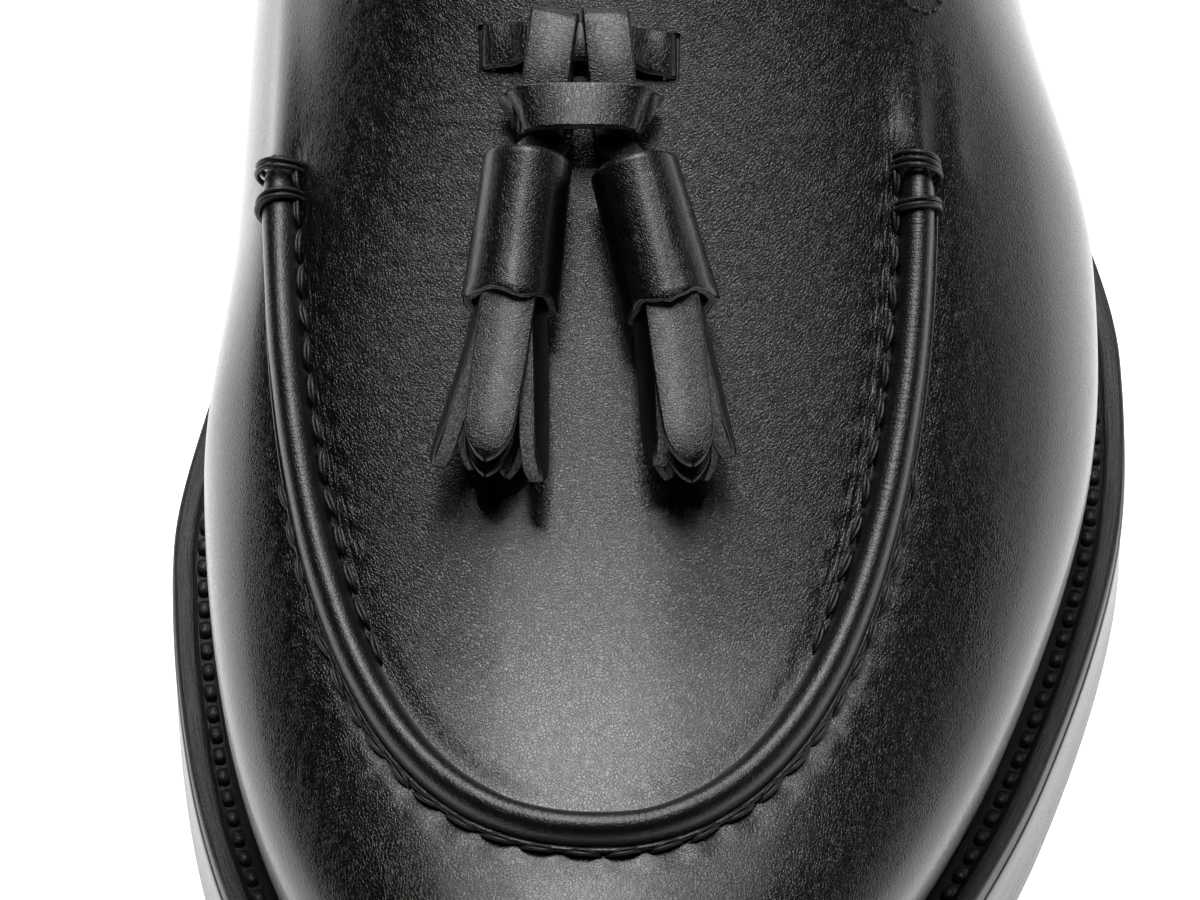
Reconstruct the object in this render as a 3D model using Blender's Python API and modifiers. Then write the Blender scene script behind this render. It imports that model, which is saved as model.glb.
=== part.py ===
"""Left tassel loafer: a lasted leather upper with a piped apron seam, welt, outsole, heel and tassel set.

The toe points to -Y, the inner (medial) side to -X, and the shoe stands on Z = 0, centred on its own box.
"""
import math
from collections import namedtuple

import bmesh
import bpy
from mathutils import Matrix, Vector

MM = 0.001

# Driving dimensions
SHOE_LENGTH = 300 * MM
BALL_WIDTH = 110.5 * MM
INSTEP_RISE = 68 * MM        # vamp ridge at mid length, above the seat of the upper
SOLE_THICKNESS = 13.5 * MM   # at the ball, without the welt
HEEL_LIFT = 13 * MM          # seat at the heel, above the seat at the ball
HEEL_HEIGHT = 16 * MM        # underside of the outsole at the heel
HEEL_TIP_THICKNESS = 6 * MM
HEEL_TOP_INSET = 1.6 * MM    # heel block's faces, inside the edge of the outsole
HEEL_FOOT_INSET = 3.0 * MM
TOE_SPRING = 7 * MM
BACK_HEIGHT = 88 * MM        # topline at the back of the heel
WALL = 2.0 * MM
WELT_THICKNESS = 3.0 * MM
WELT_REACH = 7.0 * MM        # from the edge of the sole in to the foot of the upper
INSOLE_THICKNESS = 3.0 * MM
GAP = 0.3 * MM               # between neighbours

TOE = -SHOE_LENGTH / 2
HEEL = SHOE_LENGTH / 2
HEEL_BREAST = 70 * MM
AXIS_AT_TOE = -8.0 * MM      # the long axis lies on the inner side of the box's centre
AXIS_AT_HEEL = -4.5 * MM
CLOSE = 0.001 * MM           # points nearer than this are one point
ROUND_REACH = 30 * MM        # length of each round end that gets close sections
ROUND_STEPS = 8

# Apron seam, a U that opens towards the instep
SEAM_CENTRE = -6.1 * MM
SEAM_ENDS = {"medial": -33.5 * MM, "lateral": -35.5 * MM}
SEAM_TOE = -117 * MM
SEAM_HALF_WIDTH = 35.7 * MM
SEAM_POWERS = {"medial": 2.3, "lateral": 2.1}
PIPING_WIDTH = 4.2 * MM
PIPING_RISE = 2.6 * MM

# Tassel set on the vamp
LACE_THICKNESS = 1.2 * MM
LACE_WIDTH = 5.2 * MM
CAP_RADIUS = 5.3 * MM
CAP_LENGTH = 17.6 * MM
STRIP_THICKNESS = 1.3 * MM
SLOT_PLAY = 0.7 * MM         # round the strap in its slots

# Widest line and crown of the last. Half widths are parts of the ball width, from the long axis.
# Heights are parts of the instep rise, above the seat. A higher power makes a squarer shoulder.
LastRow = namedtuple("LastRow", "at medial lateral widest crown medial_power lateral_power")
LAST = [
    LastRow(0.0, 0.394, 0.532, 0.165, 0.345, 2.2, 2.1),
    LastRow(0.1, 0.397, 0.536, 0.200, 0.395, 2.2, 2.1),
    LastRow(0.2, 0.401, 0.549, 0.222, 0.500, 2.4, 2.0),
    LastRow(0.3, 0.401, 0.560, 0.230, 0.645, 2.6, 2.0),
    LastRow(0.4, 0.375, 0.534, 0.262, 0.815, 2.4, 2.0),
    LastRow(0.5, 0.366, 0.457, 0.295, 1.000, 2.1, 2.0),
    LastRow(0.6, 0.346, 0.409, 0.310, 1.220, 2.1, 2.1),
    LastRow(0.7, 0.320, 0.358, 0.316, 1.350, 2.2, 2.2),
    LastRow(0.8, 0.304, 0.327, 0.320, 1.380, 2.3, 2.3),
    LastRow(0.9, 0.299, 0.310, 0.325, 1.380, 2.3, 2.3),
    LastRow(1.0, 0.299, 0.310, 0.330, 1.380, 2.3, 2.3),
]

# Edge of the sole, half widths as parts of the ball width.
# Spring, lift and arch are parts of the toe spring, of the heel lift and of the heel height.
SoleRow = namedtuple("SoleRow", "at medial lateral spring lift arch")
SOLE = [
    SoleRow(0.0, 0.437, 0.560, 1.00, 0.00, 0.00),
    SoleRow(0.1, 0.437, 0.564, 0.30, 0.00, 0.00),
    SoleRow(0.2, 0.440, 0.584, 0.00, 0.00, 0.00),
    SoleRow(0.3, 0.440, 0.595, 0.00, 0.00, 0.00),
    SoleRow(0.4, 0.397, 0.571, 0.00, 0.00, 0.00),
    SoleRow(0.5, 0.338, 0.493, 0.00, 0.12, 0.18),
    SoleRow(0.6, 0.300, 0.414, 0.00, 0.42, 0.55),
    SoleRow(0.7, 0.298, 0.356, 0.00, 0.78, 0.90),
    SoleRow(0.8, 0.315, 0.330, 0.00, 0.97, 1.00),
    SoleRow(0.87, 0.323, 0.325, 0.00, 1.00, 1.00),
    SoleRow(1.0, 0.324, 0.324, 0.00, 1.00, 1.00),
]

# Topline seen from the side, heights as parts of the back height
ToplineRow = namedtuple("ToplineRow", "at height")
TOPLINE = [
    ToplineRow(0.49, 1.250),
    ToplineRow(0.525, 1.055),
    ToplineRow(0.56, 0.965),
    ToplineRow(0.62, 0.885),
    ToplineRow(0.70, 0.840),
    ToplineRow(0.80, 0.850),
    ToplineRow(0.90, 0.910),
    ToplineRow(1.02, 1.010),
]

# How each outline closes at its ends: lengths of the round ends and their powers
Ends = namedtuple("Ends", "toe heel toe_reach toe_power heel_reach heel_power")
SOLE_ENDS = Ends(TOE, HEEL, {"medial": 100 * MM, "lateral": 150 * MM}, {"medial": 2.1, "lateral": 2.0},
                 39 * MM, 2.1)
LAST_ENDS = Ends(TOE + 4 * MM, HEEL - 2.5 * MM, {"medial": 96 * MM, "lateral": 146 * MM},
                 {"medial": 2.1, "lateral": 2.0}, 37 * MM, 2.1)
CROWN_TOE_REACH = 27 * MM
CROWN_HEEL_REACH = 47 * MM
CROWN_END_POWER = 2.3

# Places of the tassel set in plan, on the vamp
STRAP_Y = -27.2 * MM
STRAP_ENDS = (-18.6 * MM, 2.0 * MM)
LOOP_CENTRES = {"loop_medial": -10.6 * MM, "loop_lateral": -4.9 * MM}
LOOP_BACK = -22.9 * MM
LOOP_FRONT = -38.4 * MM
TIE_BACK = -33.7 * MM
TIE_FRONT = -39.2 * MM
TIE_CENTRE = -7.7 * MM
TIE_HALF_WIDTH = 8.3 * MM
TasselRow = namedtuple("TasselRow", "name top_x top_y foot_x foot_y")
TASSELS = [
    TasselRow("tassel_medial", -13.6 * MM, -41.7 * MM, -15.6 * MM, -58.1 * MM),
    TasselRow("tassel_lateral", -2.6 * MM, -42.6 * MM, 1.5 * MM, -58.7 * MM),
]

# Fringe strips of a tassel: place round the axis (0 is up), splay of the free end, length and width
StripRow = namedtuple("StripRow", "turn splay length width")
STRIPS = [
    StripRow(0, -3, 19.5 * MM, 6.8 * MM),
    StripRow(72, 6, 21.5 * MM, 4.6 * MM),
    StripRow(-72, 6, 21.0 * MM, 4.6 * MM),
    StripRow(128, -3, 20.0 * MM, 4.8 * MM),
    StripRow(-128, -3, 20.5 * MM, 4.8 * MM),
]

# Colour, roughness and metallic value of each material
Finish = namedtuple("Finish", "colour roughness metallic")
CALF = Finish((0.012, 0.012, 0.014), 0.32, 0.0)
EDGE = Finish((0.010, 0.010, 0.012), 0.25, 0.0)
RUBBER = Finish((0.018, 0.018, 0.020), 0.60, 0.0)
LINING = Finish((0.030, 0.028, 0.027), 0.55, 0.0)


def clear_scene():
    for item in list(bpy.data.objects):
        bpy.data.objects.remove(item, do_unlink=True)


def new_collection(name):
    collection = bpy.data.collections.new(name)
    bpy.context.scene.collection.children.link(collection)
    return collection


def make_material(name, finish):
    material = bpy.data.materials.new(name)
    material.use_nodes = True
    shader = material.node_tree.nodes["Principled BSDF"]
    shader.inputs["Base Color"].default_value = (*finish.colour, 1.0)
    shader.inputs["Roughness"].default_value = finish.roughness
    shader.inputs["Metallic"].default_value = finish.metallic
    return material


def read(rows, column, at):
    """Value of one column at a place along the shoe: a monotone cubic, level between equal rows."""
    at = min(max(at, rows[0].at), rows[-1].at)
    low = max(index for index in range(len(rows) - 1) if rows[index].at <= at)
    span = rows[low + 1].at - rows[low].at

    def chord(index):
        index = min(max(index, 0), len(rows) - 2)
        rise = getattr(rows[index + 1], column) - getattr(rows[index], column)
        return rise / (rows[index + 1].at - rows[index].at)

    def slope(index):
        before = chord(index - 1)
        after = chord(index)
        return 0.0 if before * after <= 0 else 2 * before * after / (before + after)

    t = (at - rows[low].at) / span
    start = getattr(rows[low], column)
    end = getattr(rows[low + 1], column)
    return (start * (1 + 2 * t) * (1 - t) ** 2 + end * t * t * (3 - 2 * t)
            + span * (slope(low) * t * (1 - t) ** 2 - slope(low + 1) * t * t * (1 - t)))


def part_of_length(y):
    return (y - TOE) / SHOE_LENGTH


def axis_x(y):
    return AXIS_AT_TOE + (AXIS_AT_HEEL - AXIS_AT_TOE) * part_of_length(y)


def closing(distance, reach, power):
    """Share of the full width at a distance from a round end of the given reach."""
    left = 1 - min(max(distance / reach, 0.0), 1.0)
    return (1 - left ** power) ** (1 / power)


def half_width(rows, ends, side, y, inset=0.0):
    """Half width from the long axis of an outline that is drawn in by an inset all round."""
    width = read(rows, side, part_of_length(y)) * BALL_WIDTH - inset
    width *= closing(y - ends.toe - inset, ends.toe_reach[side] - inset, ends.toe_power[side])
    return width * closing(ends.heel - inset - y, ends.heel_reach - inset, ends.heel_power)


def sign(side):
    return -1 if side == "medial" else 1


def seat(y):
    """Top of the outsole, on which upper, welt and insole sit."""
    at = part_of_length(y)
    return SOLE_THICKNESS + TOE_SPRING * read(SOLE, "spring", at) + HEEL_LIFT * read(SOLE, "lift", at)


def underside(y):
    """Underside of the outsole."""
    at = part_of_length(y)
    return TOE_SPRING * read(SOLE, "spring", at) + HEEL_HEIGHT * read(SOLE, "arch", at)


def widest_height(y):
    return seat(y) + INSTEP_RISE * read(LAST, "widest", part_of_length(y))


def crown_rise(y):
    """Height of the last's ridge above its widest line, closed at toe and heel."""
    at = part_of_length(y)
    rise = INSTEP_RISE * (read(LAST, "crown", at) - read(LAST, "widest", at))
    rise *= closing(y - LAST_ENDS.toe, CROWN_TOE_REACH, CROWN_END_POWER)
    return rise * closing(LAST_ENDS.heel - y, CROWN_HEEL_REACH, CROWN_END_POWER)


def crown_height(x, y):
    """Height of the upper's outer face above a point of the plan."""
    side = "medial" if x < axis_x(y) else "lateral"
    power = read(LAST, side + "_power", part_of_length(y))
    share = abs(x - axis_x(y)) / max(half_width(LAST, LAST_ENDS, side, y), CLOSE)
    return widest_height(y) + crown_rise(y) * max(1 - min(share, 1.0) ** power, 0.0) ** (1 / power)


def crown_normal(x, y):
    step = 0.2 * MM
    slope_x = (crown_height(x + step, y) - crown_height(x - step, y)) / (2 * step)
    slope_y = (crown_height(x, y + step) - crown_height(x, y - step)) / (2 * step)
    return Vector((-slope_x, -slope_y, 1)).normalized()


def on_vamp(x, y, lift):
    """Point at a height above the upper's outer face, square to it."""
    return Vector((x, y, crown_height(x, y))) + crown_normal(x, y) * lift


def stations(toe, heel, middle=30, round_toe=True):
    """Places along the shoe, close together in the round ends."""
    quarter = [1 - math.cos(math.radians(90 * step / ROUND_STEPS)) for step in range(ROUND_STEPS)]
    places = [toe + ROUND_REACH * share for share in quarter] if round_toe else []
    first = toe + ROUND_REACH if round_toe else toe
    last = heel - ROUND_REACH
    places += [first + (last - first) * step / middle for step in range(middle + 1)]
    return places + [heel - ROUND_REACH * share for share in reversed(quarter)]


def add_object(name, bm, collection, finish):
    bmesh.ops.remove_doubles(bm, verts=bm.verts, dist=CLOSE)
    bmesh.ops.dissolve_degenerate(bm, edges=bm.edges, dist=CLOSE)
    bmesh.ops.recalc_face_normals(bm, faces=bm.faces)
    mesh = bpy.data.meshes.new(name)
    bm.to_mesh(mesh)
    bm.free()
    item = bpy.data.objects.new(name, mesh)
    collection.objects.link(item)
    if finish is None:
        item.hide_render = True
        item.display_type = "WIRE"
    else:
        mesh.materials.append(make_material(name, finish))
        mesh.shade_smooth()
        mesh.set_sharp_from_angle(angle=math.radians(40))
    return item


def skin(bm, sections, closed_across=False, closed_along=False, capped=False):
    """Faces between neighbouring sections, which are lists of the same number of points."""
    grid = [[bm.verts.new(point) for point in section] for section in sections]
    across = len(grid[0])
    for row in range(len(grid) if closed_along else len(grid) - 1):
        following = grid[(row + 1) % len(grid)]
        for column in range(across if closed_across else across - 1):
            right = (column + 1) % across
            bm.faces.new((grid[row][column], grid[row][right], following[right], following[column]))
    if capped:
        bm.faces.new(list(reversed(grid[0])))
        bm.faces.new(grid[-1])
    return grid


def sole_point(side, y, inset, height):
    x = axis_x(y) + sign(side) * half_width(SOLE, SOLE_ENDS, side, y, inset)
    return Vector((x, y, height))


def drawn_in(place, inset, start=TOE, round_toe=True):
    """Place along the shoe of an inset ring's point, so that every ring keeps its own round ends."""
    first = start + inset if round_toe else start
    return first + (HEEL - inset - first) * (place - start) / (HEEL - start)


def make_slab(name, rings, finish, collection, start=TOE, middle=30):
    """Closed slab between rings of (inset from the sole's outline, height function), with a flat
    front when it starts behind the toe."""
    whole = start == TOE
    sections = []
    for place in stations(start, HEEL, middle, whole):
        section = []
        for side in ("medial", "lateral"):
            points = []
            for inset, height in rings:
                y = drawn_in(place, inset, start, whole)
                points.append(sole_point(side, y, inset, height(y)))
            section += points if side == "medial" else list(reversed(points))
        sections.append(section)
    bm = bmesh.new()
    skin(bm, sections, closed_across=True, capped=not whole)
    return add_object(name, bm, collection, finish)


def make_welt(collection):
    """Flat ring on the outsole, round the foot of the upper."""
    inner = WELT_REACH - GAP
    outline = [
        (0.2 * MM, GAP),
        (0.2 * MM, WELT_THICKNESS - 0.5 * MM),
        (0.7 * MM, WELT_THICKNESS),
        (inner, WELT_THICKNESS),
        (inner, GAP),
    ]
    bm = bmesh.new()
    for side in ("medial", "lateral"):
        sections = []
        for place in stations(TOE, HEEL):
            section = []
            for inset, rise in outline:
                y = drawn_in(place, inset)
                section.append(sole_point(side, y, inset, seat(y) + rise))
            sections.append(section)
        skin(bm, sections, closed_across=True)
    return add_object("welt", bm, collection, EDGE)


def upper_section(place):
    """Outer face of the upper at one place, from the inner foot over the ridge to the outer foot."""
    share = (place - LAST_ENDS.toe) / (LAST_ENDS.heel - LAST_ENDS.toe)
    foot_y = TOE + WELT_REACH + (SHOE_LENGTH - 2 * WELT_REACH) * share
    halves = {}
    for side in ("medial", "lateral"):
        foot = sole_point(side, foot_y, WELT_REACH, seat(foot_y) + GAP)
        knee = foot + Vector((0, 0, WELT_THICKNESS + GAP))
        width = half_width(LAST, LAST_ENDS, side, place)
        widest = Vector((axis_x(place) + sign(side) * width, place, widest_height(place)))
        points = [foot, knee]
        for degrees in (30, 60, 90):
            out = math.sin(math.radians(degrees))
            up = 1 - math.cos(math.radians(degrees))
            below = knee.lerp(widest, out)
            points.append(Vector((below.x, below.y, knee.z + (widest.z - knee.z) * up)))
        power = read(LAST, side + "_power", part_of_length(place))
        for degrees in (9, 19, 30, 42, 54, 66, 78):
            out = math.cos(math.radians(degrees)) ** (2 / power)
            up = math.sin(math.radians(degrees)) ** (2 / power)
            x = axis_x(place) + sign(side) * width * out
            points.append(Vector((x, place, widest.z + crown_rise(place) * up)))
        halves[side] = points
    ridge = Vector((axis_x(place), place, widest_height(place) + crown_rise(place)))
    return halves["medial"] + [ridge] + list(reversed(halves["lateral"]))


def make_collar_cutter(collection):
    """Block above the topline: the side view of the opening, pushed through the shoe."""
    reach = 90 * MM
    ceiling = 160 * MM
    steps = 28
    profile = []
    for step in range(steps + 1):
        at = TOPLINE[0].at + (TOPLINE[-1].at - TOPLINE[0].at) * step / steps
        profile.append((TOE + at * SHOE_LENGTH, BACK_HEIGHT * read(TOPLINE, "height", at)))
    bm = bmesh.new()
    sections = []
    for y, z in profile:
        sections.append([(-reach, y, z), (reach, y, z), (reach, y, ceiling), (-reach, y, ceiling)])
    skin(bm, sections, closed_across=True, capped=True)
    return add_object("collar_cutter", bm, collection, None)


def cut(item, cutter, operation="DIFFERENCE"):
    boolean = item.modifiers.new(operation.lower(), "BOOLEAN")
    boolean.operation = operation
    boolean.object = cutter


def make_upper(collection, cutters):
    """One leather wall over the last, open underneath, at the collar and at the two lace slots."""
    bm = bmesh.new()
    skin(bm, [upper_section(place) for place in stations(LAST_ENDS.toe, LAST_ENDS.heel)])
    upper = add_object("upper", bm, collection, CALF)
    wall = upper.modifiers.new("wall", "SOLIDIFY")
    wall.thickness = WALL
    wall.offset = -1
    cut(upper, make_collar_cutter(cutters))
    for name, x in (("medial", STRAP_ENDS[0]), ("lateral", STRAP_ENDS[1])):
        cut(upper, make_slot_cutter(name, x, cutters))
    return upper


def make_slot_cutter(name, x, collection):
    """Upright slit through the vamp for one end of the strap."""
    normal = crown_normal(x, STRAP_Y)
    turn = Vector((0, 0, 1)).rotation_difference(normal).to_matrix().to_4x4()
    size = Matrix.Diagonal((LACE_THICKNESS + 2 * SLOT_PLAY, LACE_WIDTH + 2 * SLOT_PLAY, WALL * 4, 1))
    place = Matrix.Translation(on_vamp(x, STRAP_Y, 0))
    bm = bmesh.new()
    bmesh.ops.create_cube(bm, size=1, matrix=place @ turn @ size)
    return add_object("slot_cutter_" + name, bm, collection, None)


def band_section(centre, across, up, width, thickness):
    """Flat strap's section with eased edges."""
    ease = min(0.3 * MM, thickness / 3)
    half = width / 2
    rise = thickness / 2
    corners = [(-half, -rise + ease), (-half + ease, -rise), (half - ease, -rise), (half, -rise + ease),
               (half, rise - ease), (half - ease, rise), (-half + ease, rise), (-half, rise - ease)]
    return [centre + across * a + up * b for a, b in corners]


def make_piping(collection):
    """Rounded bead along the apron seam, laid on the upper's own face."""
    half = PIPING_WIDTH / 2
    steps = 56
    route = []
    for step in range(steps + 1):
        angle = math.pi * step / steps
        side = "medial" if angle < math.pi / 2 else "lateral"
        out = sign(side) * abs(math.cos(angle)) ** (2 / SEAM_POWERS[side])
        ahead = math.sin(angle) ** (2 / SEAM_POWERS[side])
        end = SEAM_ENDS[side]
        route.append((SEAM_CENTRE + SEAM_HALF_WIDTH * out, end + (SEAM_TOE - end) * ahead))
    sections = []
    for step, (x, y) in enumerate(route):
        before = route[max(step - 1, 0)]
        after = route[min(step + 1, steps)]
        along = on_vamp(*after, 0) - on_vamp(*before, 0)
        up = crown_normal(x, y)
        across = along.cross(up).normalized()
        middle = on_vamp(x, y, 0)
        section = []
        for share in (-1, 0, 1):
            foot = middle + across * half * share
            section.append(on_vamp(foot.x, foot.y, GAP))
        for degrees in (25, 60, 90, 120, 155):
            out = middle + across * half * math.cos(math.radians(degrees))
            section.append(on_vamp(out.x, out.y, GAP + PIPING_RISE * math.sin(math.radians(degrees))))
        sections.append(section)
    bm = bmesh.new()
    skin(bm, sections, closed_across=True, capped=True)
    return add_object("apron_piping", bm, collection, CALF)


def make_strap(collection):
    """Lace bar that comes out of one slot, crosses the vamp and goes back through the other."""
    lift = LACE_THICKNESS * 1.5 + 2 * GAP
    depth = -(WALL + 0.6 * MM)
    bend = 1.9 * MM
    left, right = STRAP_ENDS
    corner = [(0.0, depth), (0.0, lift - bend), (bend * 0.3, lift - bend * 0.3), (bend, lift)]
    route = [(left + run, rise) for run, rise in corner]
    route += [(left + (right - left) * share, lift) for share in (0.3, 0.5, 0.7)]
    route += [(right - run, rise) for run, rise in reversed(corner)]
    points = [on_vamp(x, STRAP_Y, rise) for x, rise in route]
    points[0] = points[1] - crown_normal(left, STRAP_Y) * (lift - bend - depth)
    points[-1] = points[-2] - crown_normal(right, STRAP_Y) * (lift - bend - depth)
    sections = []
    for index, point in enumerate(points):
        along = points[min(index + 1, len(points) - 1)] - points[max(index - 1, 0)]
        x = route[index][0]
        across = (on_vamp(x, STRAP_Y - MM, 0) - on_vamp(x, STRAP_Y + MM, 0)).normalized()
        up = along.cross(across).normalized()
        sections.append(band_section(point, across, up, LACE_WIDTH, LACE_THICKNESS))
    bm = bmesh.new()
    skin(bm, sections, closed_across=True, capped=True)
    return add_object("vamp_strap", bm, collection, CALF)


def make_loop(name, x, collection):
    """Lace folded round the strap: one leg under it and one over it, closed beneath the tie."""
    low = GAP + LACE_THICKNESS / 2
    high = low + 2 * (LACE_THICKNESS + GAP)
    mid = (low + high) / 2
    turn = (high - low) / 2
    upper_end = LOOP_BACK - turn
    lower_end = LOOP_FRONT + turn
    route = [(lower_end, low), (STRAP_Y - 5 * MM, low), (STRAP_Y, low)]
    bend = [math.radians(degrees) for degrees in (-90, -45, 0, 45, 90)]
    route += [(upper_end + turn * math.cos(angle), mid + turn * math.sin(angle)) for angle in bend]
    route += [(STRAP_Y, high + 0.1 * MM), (STRAP_Y - 5 * MM, high)]
    route += [(lower_end - turn * math.cos(angle), mid - turn * math.sin(angle)) for angle in bend[:-1]]
    sections = []
    for index, (y, rise) in enumerate(route):
        before = route[index - 1]
        after = route[(index + 1) % len(route)]
        along = on_vamp(x, *after) - on_vamp(x, *before)
        across = (on_vamp(x + MM, y, 0) - on_vamp(x - MM, y, 0)).normalized()
        up = across.cross(along).normalized()
        sections.append(band_section(on_vamp(x, y, rise), across, up, LACE_WIDTH, LACE_THICKNESS))
    bm = bmesh.new()
    skin(bm, sections, closed_across=True, closed_along=True)
    return add_object(name, bm, collection, CALF)


def make_tie(collection):
    """Band across both loops, bowed over them, with its ends turned down to the vamp."""
    top = GAP + 3 * (LACE_THICKNESS + GAP) + LACE_THICKNESS / 2 + 0.5 * MM
    centre_y = (TIE_BACK + TIE_FRONT) / 2
    sections = []
    for degrees in range(-90, 91, 15):
        share = math.sin(math.radians(degrees))
        fall = math.cos(math.radians(degrees)) ** 0.3
        x = TIE_CENTRE + TIE_HALF_WIDTH * share
        rise = GAP + LACE_THICKNESS + (top - GAP - LACE_THICKNESS) * fall
        up = (crown_normal(x, centre_y) * max(fall, 0.15) + Vector((share * 0.9, 0, 0))).normalized()
        across = Vector((0, -1, 0))
        across = (across - up * across.dot(up)).normalized()
        width = (TIE_BACK - TIE_FRONT) * (1 - 0.12 * abs(share))
        sections.append(band_section(on_vamp(x, centre_y, rise), across, up, width, LACE_THICKNESS))
    bm = bmesh.new()
    skin(bm, sections, closed_across=True, capped=True)
    return add_object("tie_band", bm, collection, CALF)


def strip_mesh(name, row, frame, collection):
    """One fringe strip with a round end, flat side out, hanging from inside the cap."""
    start = -2.5 * MM
    outline = [(start, row.width / 2), (row.length - row.width / 2, row.width / 2)]
    for degrees in (60, 30, 0, -30, -60):
        run = row.length - row.width / 2 * (1 - math.cos(math.radians(degrees)))
        outline.append((run, row.width / 2 * math.sin(math.radians(degrees))))
    outline += [(row.length - row.width / 2, -row.width / 2), (start, -row.width / 2)]
    ring = CAP_RADIUS - STRIP_THICKNESS - 0.6 * MM
    turn = Matrix.Rotation(math.radians(row.turn), 4, "X")
    splay = Matrix.Rotation(math.radians(-row.splay), 4, "Y")
    bm = bmesh.new()
    layers = []
    for height in (0, STRIP_THICKNESS):
        place = turn @ Matrix.Translation((0, 0, ring + height)) @ splay
        layers.append([frame @ place @ Vector((run, side, 0)) for run, side in outline])
    skin(bm, layers, closed_across=True, capped=True)
    return add_object(name, bm, collection, None)


def make_tassel(row, collection, cutters):
    """Rolled cap and the fringe strips that hang from it, joined into one solid."""
    lift = CAP_RADIUS + GAP + 0.15 * MM
    top = on_vamp(row.top_x, row.top_y, lift)
    foot = on_vamp(row.foot_x, row.foot_y, lift)
    along = (foot - top).normalized()
    up = crown_normal(row.foot_x, row.foot_y)
    up = (up - along * up.dot(along)).normalized()
    side = up.cross(along)
    frame = Matrix((along, side, up)).transposed().to_4x4()
    frame.translation = top
    bm = bmesh.new()
    sides = 20
    rings = [(0.0, 0.80), (0.5 * MM, 1.0), (CAP_LENGTH - 0.4 * MM, 1.0), (CAP_LENGTH, 0.93)]
    sections = []
    for run, share in rings:
        section = []
        for step in range(sides):
            angle = 2 * math.pi * step / sides
            radius = CAP_RADIUS * share
            section.append(frame @ Vector((run, radius * math.cos(angle), radius * math.sin(angle))))
        sections.append(section)
    skin(bm, sections, closed_across=True, capped=True)
    tassel = add_object(row.name, bm, collection, CALF)
    lower = frame.copy()
    lower.translation = frame @ Vector((CAP_LENGTH, 0, 0))
    for index, strip in enumerate(STRIPS):
        cut(tassel, strip_mesh(row.name + "_strip_" + str(index + 1), strip, lower, cutters), "UNION")
    return tassel


def above(height_function, rise):
    return lambda y: height_function(y) + rise


def level(height):
    return lambda y: height


def build():
    clear_scene()
    parts = new_collection("tassel_loafer")
    cutters = new_collection("cutters")
    lower_ease = 1.2 * MM
    upper_ease = 0.5 * MM
    edge = [(lower_ease, underside), (0.0, above(underside, lower_ease)),
            (0.0, above(seat, -upper_ease)), (upper_ease, seat)]
    make_slab("outsole", edge, EDGE, parts)
    block = [(HEEL_FOOT_INSET, level(HEEL_TIP_THICKNESS + GAP)), (HEEL_TOP_INSET, above(underside, -GAP))]
    make_slab("heel_block", block, EDGE, parts, HEEL_BREAST, 6)
    tip = [(HEEL_FOOT_INSET + 1.4 * MM, level(0)), (HEEL_FOOT_INSET + 0.4 * MM, level(1.0 * MM)),
           (HEEL_FOOT_INSET, level(HEEL_TIP_THICKNESS))]
    make_slab("heel_tip", tip, RUBBER, parts, HEEL_BREAST, 6)
    make_welt(parts)
    inside = WELT_REACH + WALL + 2 * GAP
    make_slab("insole", [(inside, above(seat, GAP)), (inside, above(seat, GAP + INSOLE_THICKNESS))],
              LINING, parts)
    make_upper(parts, cutters)
    make_piping(parts)
    make_strap(parts)
    for name, x in LOOP_CENTRES.items():
        make_loop(name, x, parts)
    make_tie(parts)
    for row in TASSELS:
        make_tassel(row, parts, cutters)


build()
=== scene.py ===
import math
from collections import namedtuple

import bmesh
import bpy
import numpy as np
from mathutils import Matrix, Vector, noise
from mathutils.bvhtree import BVHTree


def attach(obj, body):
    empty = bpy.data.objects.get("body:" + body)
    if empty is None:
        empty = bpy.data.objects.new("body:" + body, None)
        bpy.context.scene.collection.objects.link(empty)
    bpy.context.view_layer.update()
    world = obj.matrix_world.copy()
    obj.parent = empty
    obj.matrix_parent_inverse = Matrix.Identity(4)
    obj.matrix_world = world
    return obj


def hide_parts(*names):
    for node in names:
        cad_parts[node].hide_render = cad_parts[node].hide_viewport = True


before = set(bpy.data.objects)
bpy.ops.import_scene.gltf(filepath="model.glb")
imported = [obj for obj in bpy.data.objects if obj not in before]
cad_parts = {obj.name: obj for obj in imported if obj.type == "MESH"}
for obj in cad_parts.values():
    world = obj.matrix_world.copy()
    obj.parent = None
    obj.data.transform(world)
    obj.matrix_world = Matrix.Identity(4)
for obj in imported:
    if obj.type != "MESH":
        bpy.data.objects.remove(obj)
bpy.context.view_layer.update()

MM = 0.001

# Driving sizes of the last and of the sole, as in the solids
SHOE_LENGTH = 300 * MM
BALL_WIDTH = 110.5 * MM
INSTEP_RISE = 68 * MM
SOLE_THICKNESS = 13.5 * MM
HEEL_LIFT = 13 * MM
HEEL_HEIGHT = 16 * MM
HEEL_TIP_THICKNESS = 6 * MM
TOE_SPRING = 7 * MM
BACK_HEIGHT = 88 * MM
WALL = 2.0 * MM
WELT_THICKNESS = 3.0 * MM
WELT_REACH = 7.0 * MM
WELT_GROOVE = 3.75 * MM
WELT_STITCH_DEPTH = 0.42 * MM
WELT_INSET = 0.2 * MM
WELT_RIM = 0.6 * MM
# Inset from the rim and depth of the welt's upper face, in mm
WELT_TOP = [(1.5, 0.0), (2.2, 0.02), (2.5, 0.12), (2.75, 0.34), (3.2, 0.45), (3.75, 0.48), (4.3, 0.45),
            (4.7, 0.30), (5.0, 0.22), (5.8, 0.2)]
GAP = 0.3 * MM               # between neighbouring pieces
HAIR = 0.001 * MM            # points nearer than this are one
TOE = -SHOE_LENGTH / 2
HEEL = SHOE_LENGTH / 2
HEEL_BREAST = 70 * MM
AXIS_AT_TOE = -8.0 * MM
AXIS_AT_HEEL = -4.5 * MM

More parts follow.
